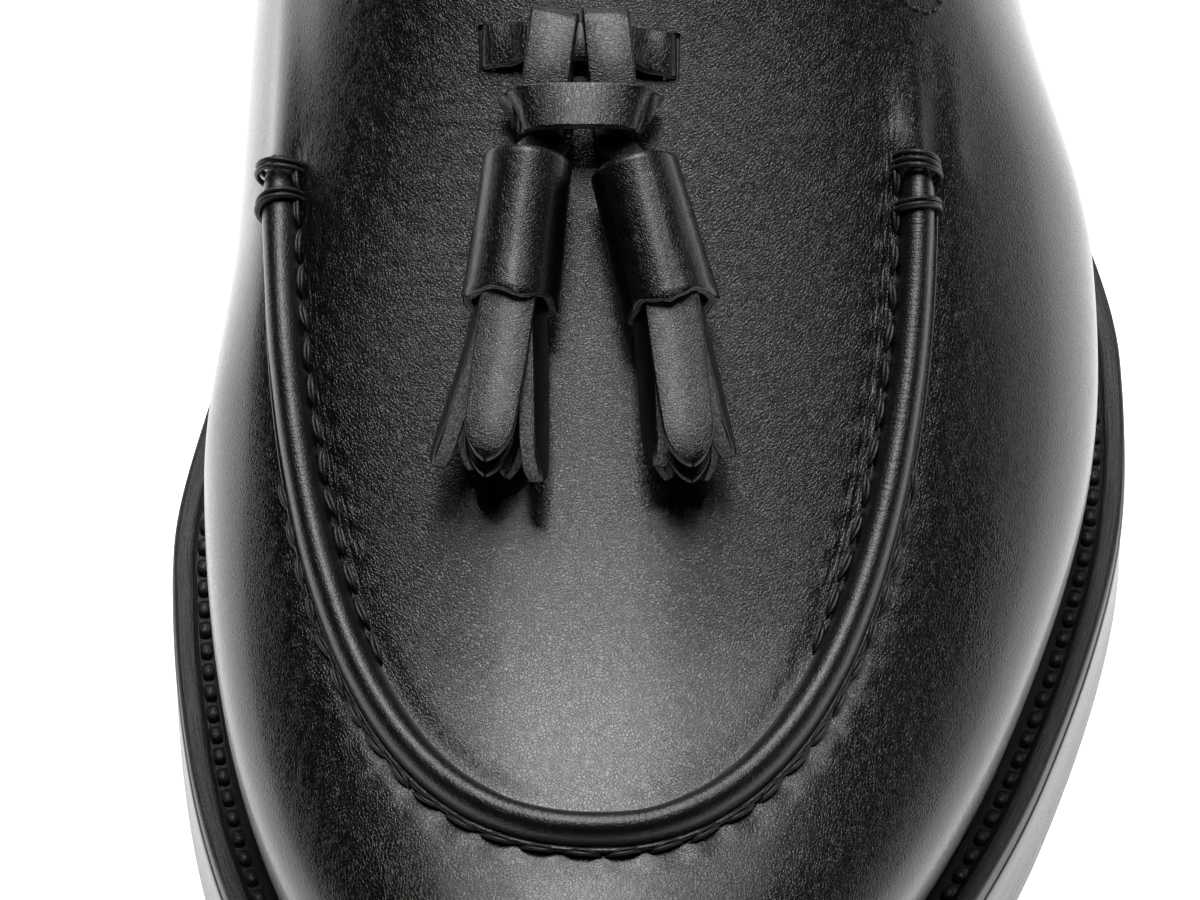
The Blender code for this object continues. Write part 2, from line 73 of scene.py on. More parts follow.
# Widest line and crown of the last, in parts of the ball width and of the instep rise
LastRow = namedtuple("LastRow", "at medial lateral widest crown medial_power lateral_power")
LAST = [
    LastRow(0.0, 0.394, 0.532, 0.165, 0.345, 2.2, 2.1),
    LastRow(0.1, 0.397, 0.536, 0.200, 0.395, 2.2, 2.1),
    LastRow(0.2, 0.401, 0.549, 0.222, 0.500, 2.4, 2.0),
    LastRow(0.3, 0.401, 0.560, 0.230, 0.645, 2.6, 2.0),
    LastRow(0.4, 0.375, 0.534, 0.262, 0.815, 2.4, 2.0),
    LastRow(0.5, 0.366, 0.457, 0.295, 1.000, 2.1, 2.0),
    LastRow(0.6, 0.346, 0.409, 0.310, 1.220, 2.1, 2.1),
    LastRow(0.7, 0.320, 0.358, 0.316, 1.350, 2.2, 2.2),
    LastRow(0.8, 0.304, 0.327, 0.320, 1.380, 2.3, 2.3),
    LastRow(0.9, 0.299, 0.310, 0.325, 1.380, 2.3, 2.3),
    LastRow(1.0, 0.299, 0.310, 0.330, 1.380, 2.3, 2.3),
]
SoleRow = namedtuple("SoleRow", "at medial lateral spring lift arch")
SOLE = [
    SoleRow(0.0, 0.437, 0.560, 1.00, 0.00, 0.00),
    SoleRow(0.1, 0.437, 0.564, 0.30, 0.00, 0.00),
    SoleRow(0.2, 0.440, 0.584, 0.00, 0.00, 0.00),
    SoleRow(0.3, 0.440, 0.595, 0.00, 0.00, 0.00),
    SoleRow(0.4, 0.397, 0.571, 0.00, 0.00, 0.00),
    SoleRow(0.5, 0.338, 0.493, 0.00, 0.12, 0.18),
    SoleRow(0.6, 0.300, 0.414, 0.00, 0.42, 0.55),
    SoleRow(0.7, 0.298, 0.356, 0.00, 0.78, 0.90),
    SoleRow(0.8, 0.315, 0.330, 0.00, 0.97, 1.00),
    SoleRow(0.87, 0.323, 0.325, 0.00, 1.00, 1.00),
    SoleRow(1.0, 0.324, 0.324, 0.00, 1.00, 1.00),
]
ToplineRow = namedtuple("ToplineRow", "at height")
TOPLINE = [
    ToplineRow(0.49, 1.250),
    ToplineRow(0.525, 1.055),
    ToplineRow(0.56, 0.965),
    ToplineRow(0.62, 0.885),
    ToplineRow(0.70, 0.840),
    ToplineRow(0.80, 0.850),
    ToplineRow(0.90, 0.910),
    ToplineRow(1.02, 1.010),
]
Ends = namedtuple("Ends", "toe heel toe_reach toe_power heel_reach heel_power")
SOLE_ENDS = Ends(TOE, HEEL, {"medial": 100 * MM, "lateral": 150 * MM}, {"medial": 2.1, "lateral": 2.0},
                 39 * MM, 2.1)
LAST_ENDS = Ends(TOE + 4 * MM, HEEL - 2.5 * MM, {"medial": 96 * MM, "lateral": 146 * MM},
                 {"medial": 2.1, "lateral": 2.0}, 37 * MM, 2.1)
CROWN_TOE_REACH = 27 * MM
CROWN_HEEL_REACH = 47 * MM
CROWN_END_POWER = 2.3
ROUND_REACH = 30 * MM
UPPER_STATIONS = 176
SOLE_STATIONS = 170
HEEL_STATIONS = 40
ROUND_STATIONS = 26
BELLY_STEPS = 9
CROWN_STEPS = 52
TOPLINE_STEPS = 90

# Apron seam
SEAM_CENTRE = -6.1 * MM
SEAM_ENDS = {"medial": -31.8 * MM, "lateral": -35.5 * MM}
SEAM_TOE = -117 * MM
SEAM_HALF_WIDTH = 35.7 * MM
SEAM_POWERS = {"medial": 2.3, "lateral": 2.1}
PIPING_WIDTH = 4.2 * MM
PIPING_RISE = 2.6 * MM
LIP_WIDTH = 0.8 * MM
LIP_THICKNESS = 0.6 * MM
LIP_EASE = 0.28 * MM
LIP_OUT = 0.25 * MM          # beyond the piping, and above the leather
SEAM_FADE = 40 * MM          # how far the pinched leather runs on behind the piping
SEAM_STITCH = 4.6 * MM
SEAM_ROUTE_STEPS = 400
SEAM_TAIL_STEPS = 60

# Height, place across the seam and width of the soft forms beside the piping, in mm
Ridge = namedtuple("Ridge", "height centre width")
GUTTER = [Ridge(-0.22, 2.7, 0.8)]
SWELL = [Ridge(0.10, -5.6, 2.4)]
MEDIAL_PLEAT = [Ridge(0.9, -0.2, 2.8)]
LATERAL_PLEAT = [Ridge(1.2, -0.1, 2.0), Ridge(-0.35, -2.4, 1.0), Ridge(0.5, -5.0, 2.0)]
MEDIAL_PLEAT_LENGTH = 38
LATERAL_PLEAT_LENGTH = 20
PIPING_END_SHARPNESS = 1.6
QUARTER_START = 20 * MM      # the pleats die out between these two places
QUARTER_PLAIN = 35 * MM

# Rows of stitches
StitchRow = namedtuple("StitchRow", "length width rise pitch sway strands")
SEAM_THREAD = StitchRow(SEAM_STITCH * 0.94, 0.95 * MM, 0.45 * MM, SEAM_STITCH, 0.14, 2)
SIDE_THREAD = StitchRow(1.25 * MM, 0.55 * MM, 0.24 * MM, 1.5 * MM, 0.12, 1)
TOPLINE_THREAD = StitchRow(2.0 * MM, 0.55 * MM, 0.26 * MM, 2.4 * MM, 0.03, 1)
WELT_THREAD = StitchRow(2.75 * MM, 1.45 * MM, 0.50 * MM, 3.0 * MM, 0.08, 1)
SeamRun = namedtuple("SeamRun", "name first last beside")

# Thread wraps at both ends of the piping
WRAP_PLACES = (0.6 * MM, 5.6 * MM)
WRAP_STRANDS = 3
WRAP_PITCH = 0.6 * MM
WRAP_THREAD_RADIUS = 0.33 * MM

# Folded collar edge
EDGE_RADIUS = 1.28 * MM
EDGE_DEPTH = 1.0 * MM
EDGE_TO_STITCHES = 3.2 * MM

# Short loop of stitches on the outer side
SIDE_LOOP = Vector((30.2 * MM, -14.5 * MM))
SIDE_LOOP_HALF = 2.7 * MM
SIDE_LOOP_LENGTH = 9 * MM

# Tassel set, in plan on the vamp
LACE_THICKNESS = 1.2 * MM
LACE_WIDTH = 5.2 * MM
LACE_EASE = 0.28 * MM        # roundness of the cut corners
SLOT_PLAY = 0.6 * MM
SLOT_END_PLAY = 0.5 * MM
NECK_WIDTH = 3.6 * MM
LACE_SQUEEZED = 4.3 * MM     # the lace bar inside the loops
STRAP_ENDS = (-18.8 * MM, 2.1 * MM)
STRAP_END_Y = (-27.2 * MM, -28.5 * MM)
LOOP_WIDTH = 5.3 * MM
LOOP_FOLD = -24.8 * MM
LOOP_FRONT = -38.0 * MM
LOOP_ARCH = 0.5 * MM
LoopRow = namedtuple("LoopRow", "name back_x front_x slant")
LOOPS = [
    LoopRow("loop_medial", -10.9 * MM, -12.5 * MM, 0.26),
    LoopRow("loop_lateral", -5.45 * MM, -4.2 * MM, 0.05),
]
TIE_Y = -36.1 * MM
TIE_WIDTH = 5.4 * MM
TIE_CENTRE = -8.2 * MM
TIE_HALF_WIDTH = 6.3 * MM
TIE_TAPER = 0.6
TIE_TUCK = 2.5 * MM          # how far its ends run back under it
TIE_CURL = 0.35 * MM
CAP_RADIUS = 5.3 * MM
CAP_LENGTH = 17.6 * MM
CAP_WALL = 1.1 * MM
CAP_FLARE = 0.55 * MM
CAP_SPIRAL = 0.45 * MM
CAP_PLAY = 0.35 * MM         # between the cap and the vamp
CAP_COLUMNS = 73
CAP_NOTCHES = 5
CAP_TOP_EASE = 0.35
# Rings down the cap's side, in mm
CAP_RUNS = [0.0, 0.12, 0.35, 0.8, 2, 4, 6.5, 9, 11.5, 14, 15.6, 16.4]
TasselRow = namedtuple("TasselRow", "name top_x top_y foot_x foot_y roll neck_x hang left right")
SideStrip = namedtuple("SideStrip", "splay length")
TASSELS = [
    TasselRow("tassel_medial", -13.6 * MM, -41.7 * MM, -15.6 * MM, -58.1 * MM, 2.2, -10.5 * MM, -1.0,
              SideStrip(7.0, 19.8 * MM), SideStrip(10.0, 20.4 * MM)),
    TasselRow("tassel_lateral", -2.6 * MM, -42.6 * MM, 1.5 * MM, -58.7 * MM, -0.9, -5.0 * MM, -7.5,
              SideStrip(1.0, 18.0 * MM), SideStrip(7.0, 17.8 * MM)),
]
STRIP_ROOT = -3.5 * MM       # inside the cap
STRIP_POINT = 5.2 * MM       # length of the pointed end
STRIP_TAPER = 12 * MM
STRIP_EASE = 0.25 * MM
SIDE_TURN = 72
StripRow = namedtuple("StripRow", "turn depth splay length width thickness curl flatness")
STRIPS = [
    StripRow(0, -0.2 * MM, 2, 19.3 * MM, 6.0 * MM, 1.6 * MM, 0.2, 0.95),
    StripRow(0, 1.8 * MM, 0, 20.3 * MM, 5.6 * MM, 1.4 * MM, 0.1, 0.8),
    StripRow(SIDE_TURN, 0.45 * MM, 0, 20 * MM, 4.8 * MM, 2.1 * MM, 0.7, 0.9),
    StripRow(-SIDE_TURN, 0.45 * MM, 0, 20 * MM, 4.8 * MM, 2.1 * MM, -0.6, 0.9),
    StripRow(142, 0.45 * MM, 0, 18.5 * MM, 4.4 * MM, 1.3 * MM, 0.5, 0.5),
    StripRow(-142, 0.45 * MM, 0, 19.0 * MM, 4.4 * MM, 1.3 * MM, 0.4, 0.5),
]

# Camera of the photo
PHOTO_WIDTH = 1200
CAMERA_TARGET = Vector((-6 * MM, -62 * MM, 40 * MM))
CAMERA_DISTANCE = 1000 * MM
CAMERA_ELEVATION = math.radians(52)
PIXELS_PER_MM = 8.7          # at the sole
SOLE_BEHIND_TARGET = 18 * MM
SENSOR = 36.0

# Studio
FLOOR_HALF = 12.0
FLOOR_GLOW = 1.3
LightRow = namedtuple("LightRow", "name place aim size strength")
LIGHTS = [
    LightRow("overhead", (-0.03, 0.68, 1.5), (-0.01, -0.08, 0), (0.48, 1.65), 8.6),
    LightRow("overhead_wide", (0.05, 0.42, 1.6), (-0.01, -0.08, 0), (1.6, 0.42), 4.6),
    LightRow("right", (1.5, 0.5, 0.35), (0.03, -0.05, 0.03), (1.6, 0.7), 0.6),
]


# Shape of the last and of the sole


def read(rows, column, at):
    """Value of one column at a place along the shoe: a monotone cubic, level between equal rows."""
    at = min(max(at, rows[0].at), rows[-1].at)
    low = max(index for index in range(len(rows) - 1) if rows[index].at <= at)
    span = rows[low + 1].at - rows[low].at

    def chord(index):
        index = min(max(index, 0), len(rows) - 2)
        rise = getattr(rows[index + 1], column) - getattr(rows[index], column)
        return rise / (rows[index + 1].at - rows[index].at)

    def slope(index):
        before = chord(index - 1)
        after = chord(index)
        return 0.0 if before * after <= 0 else 2 * before * after / (before + after)

    t = (at - rows[low].at) / span
    start = getattr(rows[low], column)
    end = getattr(rows[low + 1], column)
    return (start * (1 + 2 * t) * (1 - t) ** 2 + end * t * t * (3 - 2 * t)
            + span * (slope(low) * t * (1 - t) ** 2 - slope(low + 1) * t * t * (1 - t)))


def part_of_length(y):
    return (y - TOE) / SHOE_LENGTH


def axis_x(y):
    return AXIS_AT_TOE + (AXIS_AT_HEEL - AXIS_AT_TOE) * part_of_length(y)


def closing(distance, reach, power):
    """Share of the full width at a distance from a round end of the given reach."""
    left = 1 - min(max(distance / reach, 0.0), 1.0)
    return (1 - left ** power) ** (1 / power)


def half_width(rows, ends, side, y, inset=0.0):
    width = read(rows, side, part_of_length(y)) * BALL_WIDTH - inset
    width *= closing(y - ends.toe - inset, ends.toe_reach[side] - inset, ends.toe_power[side])
    return width * closing(ends.heel - inset - y, ends.heel_reach - inset, ends.heel_power)


def sign(side):
    return -1 if side == "medial" else 1


def seat(y):
    """Top of the outsole."""
    at = part_of_length(y)
    return SOLE_THICKNESS + TOE_SPRING * read(SOLE, "spring", at) + HEEL_LIFT * read(SOLE, "lift", at)


def underside(y):
    at = part_of_length(y)
    return TOE_SPRING * read(SOLE, "spring", at) + HEEL_HEIGHT * read(SOLE, "arch", at)


def widest_height(y):
    return seat(y) + INSTEP_RISE * read(LAST, "widest", part_of_length(y))


def crown_rise(y):
    at = part_of_length(y)
    rise = INSTEP_RISE * (read(LAST, "crown", at) - read(LAST, "widest", at))
    rise *= closing(y - LAST_ENDS.toe, CROWN_TOE_REACH, CROWN_END_POWER)
    return rise * closing(LAST_ENDS.heel - y, CROWN_HEEL_REACH, CROWN_END_POWER)


def crown_height(x, y):
    """Height of the upper's outer face above a point of the plan."""
    side = "medial" if x < axis_x(y) else "lateral"
    power = read(LAST, side + "_power", part_of_length(y))
    share = abs(x - axis_x(y)) / max(half_width(LAST, LAST_ENDS, side, y), HAIR)
    return widest_height(y) + crown_rise(y) * max(1 - min(share, 1.0) ** power, 0.0) ** (1 / power)


def crown_normal(x, y):
    """Outward normal of the upper above a point of the plan."""
    step = 0.2 * MM
    slope_x = (crown_height(x + step, y) - crown_height(x - step, y)) / (2 * step)
    slope_y = (crown_height(x, y + step) - crown_height(x, y - step)) / (2 * step)
    return Vector((-slope_x, -slope_y, 1)).normalized()


def on_vamp(x, y, lift):
    """Point at a height above the upper's outer face, square to it."""
    return Vector((x, y, crown_height(x, y))) + crown_normal(x, y) * lift


def sole_point(side, y, inset, height):
    x = axis_x(y) + sign(side) * half_width(SOLE, SOLE_ENDS, side, y, inset)
    return Vector((x, y, height))


def topline_height(y):
    return BACK_HEIGHT * read(TOPLINE, "height", part_of_length(y))


def stations(first, last, middle, round_steps, round_toe=True):
    """Places along the shoe, close together in the round ends."""
    quarter = [1 - math.cos(math.radians(90 * step / round_steps)) for step in range(round_steps)]
    places = [first + ROUND_REACH * share for share in quarter] if round_toe else []
    low = first + ROUND_REACH if round_toe else first
    high = last - ROUND_REACH
    places += [low + (high - low) * step / middle for step in range(middle + 1)]
    return places + [last - ROUND_REACH * share for share in reversed(quarter)]


def seam_plan(angle):
    """Point of the apron seam in plan, from the medial end (0) round the toe to the lateral end (pi)."""
    side = "medial" if angle < math.pi / 2 else "lateral"
    out = sign(side) * abs(math.cos(angle)) ** (2 / SEAM_POWERS[side])
    ahead = max(math.sin(angle), 0.0) ** (2 / SEAM_POWERS[side])
    return SEAM_CENTRE + SEAM_HALF_WIDTH * out, SEAM_ENDS[side] + (SEAM_TOE - SEAM_ENDS[side]) * ahead


# Node trees


class Wire:
    """An output in a node tree. Python's operators on it add Math nodes."""

    def __init__(self, nodes, socket):
        self.nodes = nodes
        self.socket = socket

    def math(self, operation, *values):
        return self.nodes.add("ShaderNodeMath", {"operation": operation}, dict(enumerate(values)))

    def __add__(self, other):
        return self.math("ADD", self, other)

    def __sub__(self, other):
        return self.math("SUBTRACT", self, other)

    def __rsub__(self, other):
        return self.math("SUBTRACT", other, self)

    def __mul__(self, other):
        return self.math("MULTIPLY", self, other)

    __radd__ = __add__
    __rmul__ = __mul__

    def __neg__(self):
        return self.math("MULTIPLY", self, -1.0)

    def size(self):
        return self.math("ABSOLUTE", self)

    def cosine(self):
        return self.math("COSINE", self)

    def rising(self, low, high):
        """Smooth step from 0 at low to 1 at high."""
        values = {"Value": self, "From Min": low, "From Max": high}
        return self.nodes.add("ShaderNodeMapRange", {"interpolation_type": "SMOOTHSTEP"}, values)

    def within(self, low, high, soft):
        return self.rising(low - soft, low + soft) * (1 - self.rising(high - soft, high + soft))


class Nodes:
    """A node tree with one method that adds any node."""

    def __init__(self, tree):
        self.tree = tree

    def add(self, kind, settings=None, inputs=None, output=0):
        node = self.tree.nodes.new(kind)
        for name, value in (settings or {}).items():
            setattr(node, name, value)
        for name, value in (inputs or {}).items():
            if isinstance(value, Wire):
                self.tree.links.new(value.socket, node.inputs[name])
            else:
                node.inputs[name].default_value = value
        return Wire(self, node.outputs[output])


class Paint(Nodes):
    """A material with its Principled shader. Relief is in millimetres."""

    def __init__(self, name, colour, roughness, **constants):
        self.material = bpy.data.materials.new(name)
        self.material.use_nodes = True
        super().__init__(self.material.node_tree)
        self.shader = self.tree.nodes["Principled BSDF"]
        self.shader.inputs["Base Color"].default_value = (*colour, 1.0)
        self.shader.inputs["Roughness"].default_value = roughness
        for socket, value in constants.items():
            self.shader.inputs[socket.replace("_", " ")].default_value = value
        self.place = self.scaled(self.add("ShaderNodeTexCoord", output="Object"), 1 / MM)

    def feed(self, socket, wire):
        self.tree.links.new(wire.socket, self.shader.inputs[socket])

    def scaled(self, vector, factor):
        return self.add("ShaderNodeVectorMath", {"operation": "SCALE"}, {"Vector": vector, "Scale": factor})

    def stretched(self, vector, factors):
        return self.add("ShaderNodeVectorMath", {"operation": "MULTIPLY"}, {0: vector, 1: factors})

    def parts(self, vector):
        node = self.tree.nodes.new("ShaderNodeSeparateXYZ")
        self.tree.links.new(vector.socket, node.inputs[0])
        return [Wire(self, node.outputs[index]) for index in range(3)]

    def joined(self, x, y, z=0.0):
        return self.add("ShaderNodeCombineXYZ", {}, {"X": x, "Y": y, "Z": z})

    def uv(self, name):
        return self.add("ShaderNodeUVMap", {"uv_map": name})

    def cloud(self, vector, scale, detail=2.0):
        """Noise about 0, roughly between -0.5 and 0.5."""
        return self.add("ShaderNodeTexNoise", {}, {"Vector": vector, "Scale": scale, "Detail": detail}) - 0.5

    def cells(self, vector, scale):
        """Distance from the edges of a cell pattern."""
        settings = {"feature": "DISTANCE_TO_EDGE"}
        return self.add("ShaderNodeTexVoronoi", settings, {"Vector": vector, "Scale": scale})

    def bent(self, vector, scale, amount):
        """The vector, moved about by a soft noise."""
        shift = self.add("ShaderNodeTexNoise", {}, {"Vector": vector, "Scale": scale}, "Color")
        return self.add("ShaderNodeVectorMath", {"operation": "MULTIPLY_ADD"},
                        {0: shift, 1: (amount, amount, amount), 2: vector})

    def tint(self, factor, first, second):
        inputs = {"Factor": factor, 6: (*first, 1.0), 7: (*second, 1.0)}
        return self.add("ShaderNodeMix", {"data_type": "RGBA"}, inputs, 2)

    def relief(self, height):
        bump = self.add("ShaderNodeBump", {}, {"Height": height, "Distance": MM, "Strength": 1.0})
        self.feed("Normal", bump)


# Finishes


BLACK = (0.0014, 0.0014, 0.0016)
SUEDE = (0.030, 0.030, 0.031)


def pebble(paint, scale, depth):
    """Fine calf grain: small rounded cells with thin valleys and pores between them."""
    place = paint.bent(paint.place, 0.5, 1.2)
    cell = paint.cells(place, scale).rising(0.0, 0.20)
    pore = paint.cloud(paint.place, scale * 1.6, 1.0).rising(-0.22, 0.02)
    return cell * (0.62 * depth) + pore * (0.38 * depth)


def upper_leather():
    """Calf with gathers beside the seam, flex lines on the inner side and creases behind the tassels.

    Places are in mm: along the seam from the toe, and across it, positive inside the apron.
    """
    paint = Paint("calf", BLACK, 0.28, Coat_Weight=0.25, Coat_Roughness=0.18)
    along, across, _ = paint.parts(paint.uv("seam"))
    arms = along.size().rising(38, 52) * (1 - along.size().rising(96, 112))
    front = 1 - along.size().rising(42, 60)
    gathers = paint.cloud(paint.joined(along * 0.30, across * 1.7), 1.0, 3.0)
    puckers = gathers * across.within(2.2, 4.6, 0.9) * arms * 0.26
    wave = (along * (2 * math.pi / (SEAM_STITCH / MM))).cosine()
    pulls = wave * across.within(-5.2, -2.6, 0.7) * front * 0.07
    pulls = pulls + wave * across.within(2.4, 4.6, 0.6) * arms * 0.08
    x, y, _ = paint.parts(paint.place)
    flex = paint.cloud(paint.stretched(paint.place, (0.07, 0.55, 0.55)), 1.0, 2.0)
    flex = flex * y.within(-56, -30, 6) * x.within(-34, -14, 6) * 0.12
    slanted = paint.joined(x * 0.45 + y * 0.55, x * 0.10 - y * 0.08)
    creases = paint.cloud(slanted, 1.3, 3.0) * y.within(-40, -16, 6) * x.within(3, 22, 5) * 0.13
    paint.relief(pebble(paint, 2.7, 0.031) + puckers + pulls + flex + creases)
    worn = paint.cloud(paint.place, 0.06, 3.0)
    paint.feed("Roughness", 0.28 + worn * 0.08)
    return paint.material


def piping_leather():
    """Calf stretched over the cord, with faint rings across it."""
    paint = Paint("piping_calf", BLACK, 0.36, Coat_Weight=0.15, Coat_Roughness=0.25)
    along, across, _ = paint.parts(paint.uv("run"))
    rings = paint.cloud(paint.joined(along * 2.2, across * 0.3), 1.0, 2.0) * 0.08
    paint.relief(pebble(paint, 2.0, 0.022) + rings)
    paint.feed("Roughness", 0.37 + paint.cloud(paint.place, 0.4) * 0.12)
    return paint.material


def lace_leather():
    """Strip leather that is creased across where it bends."""
    paint = Paint("lace_calf", BLACK, 0.30, Coat_Weight=0.25, Coat_Roughness=0.2)
    along, across, _ = paint.parts(paint.uv("run"))
    cracks = paint.cells(paint.bent(paint.joined(along * 2.2, across * 1.1), 0.8, 1.0), 1.0)
    paint.relief(cracks.rising(0.0, 0.15) * 0.025 + pebble(paint, 3.0, 0.022))
    paint.feed("Roughness", 0.31 + paint.cloud(paint.place, 0.5) * 0.16)
    return paint.material


def cap_leather():
    """Glossier leather of the tassels, slightly uneven."""
    paint = Paint("cap_calf", BLACK, 0.30, Coat_Weight=0.3, Coat_Roughness=0.22)
    soft = paint.cloud(paint.stretched(paint.place, (1, 0.6, 1)), 0.9, 3.0)
    paint.relief(pebble(paint, 3.0, 0.024) + soft * 0.05)
    paint.feed("Roughness", 0.30 + soft * 0.14)
    return paint.material


def cut_edge():
    """Suede-like edge where a strip was cut."""
    paint = Paint("cut_edge", SUEDE, 0.85)
    fibre = paint.cloud(paint.place, 3.5, 4.0)
    paint.relief(fibre * 0.16)
    paint.feed("Base Color", paint.tint(fibre.rising(-0.2, 0.25), (0.03, 0.03, 0.03), (0.20, 0.20, 0.203)))
    return paint.material


def welt_leather():
    """Matt strip with streaks along it."""
    paint = Paint("welt_leather", BLACK, 0.52, Coat_Weight=0.0)
    along, across, _ = paint.parts(paint.uv("run"))
    streaks = paint.cloud(paint.joined(along * 0.12, across * 3.5), 1.0, 4.0)
    fuzz = paint.cloud(paint.place, 3.0, 3.0)
    paint.relief(streaks * 0.10 + fuzz * 0.07)
    paint.feed("Roughness", 0.52 + streaks * 0.25)
    return paint.material


def edge_finish():
    """Trimmed and waxed edge: fine lines along it and a few pits."""
    paint = Paint("waxed_edge", BLACK, 0.30, Coat_Weight=0.0)
    along, across, _ = paint.parts(paint.uv("run"))
    lines = paint.cloud(paint.joined(along * 0.03, across * 2.6), 1.0, 5.0)
    pits = paint.cloud(paint.place, 2.6, 2.0).rising(0.16, 0.24)
    waves = paint.cloud(paint.joined(along * 0.08, across * 0.3), 1.0, 2.0)
    paint.relief(lines * 0.055 - pits * 0.14 + waves * 0.10)
    paint.feed("Roughness", 0.30 + lines * 0.15 + pits * 0.25)
    return paint.material


def gritty(name, colour, roughness, scale, detail, depth, wear):
    """Matt finish whose relief and roughness follow one noise."""
    paint = Paint(name, colour, roughness)
    grit = paint.cloud(paint.place, scale, detail)
    paint.relief(grit * depth)
    paint.feed("Roughness", roughness + grit * wear)
    return paint.material


def lining_leather():
    paint = Paint("lining", (0.010, 0.0098, 0.0095), 0.6)
    paint.relief(pebble(paint, 1.3, 0.03))
    paint.feed("Roughness", 0.6 + paint.cloud(paint.place, 0.3) * 0.15)
    return paint.material


def waxed_thread():
    """Black thread with a little wax on it."""
    paint = Paint("waxed_thread", (0.003, 0.003, 0.0034), 0.5, Coat_Weight=0.1)
    strands = paint.cloud(paint.stretched(paint.place, (3, 3, 3)), 1.2, 3.0)
    paint.relief(strands * 0.08)
    paint.feed("Roughness", 0.5 + strands * 0.3)
    return paint.material


# Meshes


def measured(points, closed):
    """Length from the first point to each point, in millimetres, with the closing length if closed."""
    lengths = [0.0]
    following = points[1:] + (points[:1] if closed else [])
    for before, after in zip(points, following):
        lengths.append(lengths[-1] + (after - before).length / MM)
    return lengths


def skin(bm, sections, closed_across=False, closed_along=False, capped=False, finish_of=None):
    """Faces between neighbouring sections, with millimetres along and across in the UV map "run"."""
    layer = bm.loops.layers.uv.get("run") or bm.loops.layers.uv.new("run")
    grid = [[bm.verts.new(point) for point in section] for section in sections]
    centres = [sum(section, Vector()) / len(section) for section in sections]
    along = measured(centres, closed_along)
    across = measured(sections[len(sections) // 2], closed_across)
    columns = len(grid[0])
    for row in range(len(grid) if closed_along else len(grid) - 1):
        below = (row + 1) % len(grid)
        for column in range(columns if closed_across else columns - 1):
            right = (column + 1) % columns
            corners = [(row, row, column, column), (row, row, right, column + 1),
                       (below, row + 1, right, column + 1), (below, row + 1, column, column)]
            face = bm.faces.new([grid[a][c] for a, _, c, _ in corners])
            if finish_of:
                face.material_index = finish_of(row, column)
            for loop, (_, length, _, width) in zip(face.loops, corners):
                loop[layer].uv = (along[length], across[width])
    if capped:
        bm.faces.new(list(reversed(grid[0])))
        bm.faces.new(grid[-1])
    return grid


def mesh_from(name, bm, finishes, angle):
    bmesh.ops.remove_doubles(bm, verts=bm.verts, dist=HAIR)
    bmesh.ops.dissolve_degenerate(bm, edges=bm.edges, dist=HAIR)
    bmesh.ops.recalc_face_normals(bm, faces=bm.faces)
    mesh = bpy.data.meshes.new(name)
    bm.to_mesh(mesh)
    bm.free()
    for finish in finishes:
        mesh.materials.append(finish)
    mesh.shade_smooth()
    mesh.set_sharp_from_angle(angle=math.radians(angle))
    return mesh


def arc(first, last, step):
    """Angles in radians, from degrees, with both ends."""
    return [math.radians(degrees) for degrees in range(first, last + (1 if step > 0 else -1), step)]


def direction(points, index, closed=False):
    """Unit vector along a row of points at one of them."""
    if closed:
        return (points[(index + 1) % len(points)] - points[index - 1]).normalized()
    return (points[min(index + 1, len(points) - 1)] - points[max(index - 1, 0)]).normalized()


def square_to(vector, along):
    return (vector - along * vector.dot(along)).normalized()


def circle(radius, steps):
    """Round section as (across, up) pairs."""
    angles = [2 * math.pi * step / steps for step in range(steps)]
    return [(radius * math.cos(angle), radius * math.sin(angle)) for angle in angles]


def helper(name, data):
    """New object in the scene, at the origin."""
    item = bpy.data.objects.new(name, data)
    bpy.context.scene.collection.objects.link(item)
    return item


def add_piece(name, mesh, nodes=()):
    piece = helper(name, mesh)
    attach(piece, "root")
    if nodes:
        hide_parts(*nodes)
    return piece


def add_skin(name, runs, finishes, slot, nodes=(), sharp=60, **closing):
    """Piece made of one closed skin for each run of sections."""
    bm = bmesh.new()
    for sections in runs:
        skin(bm, sections, closed_across=True, **closing)
    return add_piece(name, mesh_from(name, bm, finishes, sharp), nodes)


def plain_mesh(item):
    """The evaluated object as a mesh of its own. The object is removed."""
    depsgraph = bpy.context.evaluated_depsgraph_get()
    mesh = bpy.data.meshes.new_from_object(item.evaluated_get(depsgraph), depsgraph=depsgraph)
    bpy.data.objects.remove(item, do_unlink=True)
    return mesh


def rounded(width, thickness, ease, steps=3):
    """Flat strip's section as (across, up) pairs: counter-clockwise, with round corners."""
    points = []
    for corner_x, corner_z, start in ((1, -1, -90), (1, 1, 0), (-1, 1, 90), (-1, -1, 180)):
        for step in range(steps + 1):
            angle = math.radians(start + 90 * step / steps)
            points.append((corner_x * (width / 2 - ease) + ease * math.cos(angle),
                           corner_z * (thickness / 2 - ease) + ease * math.sin(angle)))
    return points


def strip_finish(row, column, steps=3):
    """Finish 1, the cut edge, on the two narrow sides of a rounded section."""
    return 1 if column in (steps, 3 * steps + 2) else 0


def add_strips(name, runs, finishes, nodes=(), **closing):
    """Piece of strip leather with its cut edges."""
    add_skin(name, runs, finishes, "lace_leather", nodes, 50, finish_of=strip_finish, **closing)


def smooth_route(points, count):
    """Even run through control points, on a cubic that passes through each of them."""
    ends = [points[0] * 2 - points[1]] + points + [points[-1] * 2 - points[-2]]
    route = []
    for step in range(count + 1):
        place = step / count * (len(points) - 1)
        index = min(int(place), len(points) - 2)
        t = place - index
        a, b, c, d = ends[index:index + 4]
        route.append(0.5 * ((2 * b) + (c - a) * t + (2 * a - 5 * b + 4 * c - d) * t * t
                            + (3 * b - a - 3 * c + d) * t ** 3))
    return route


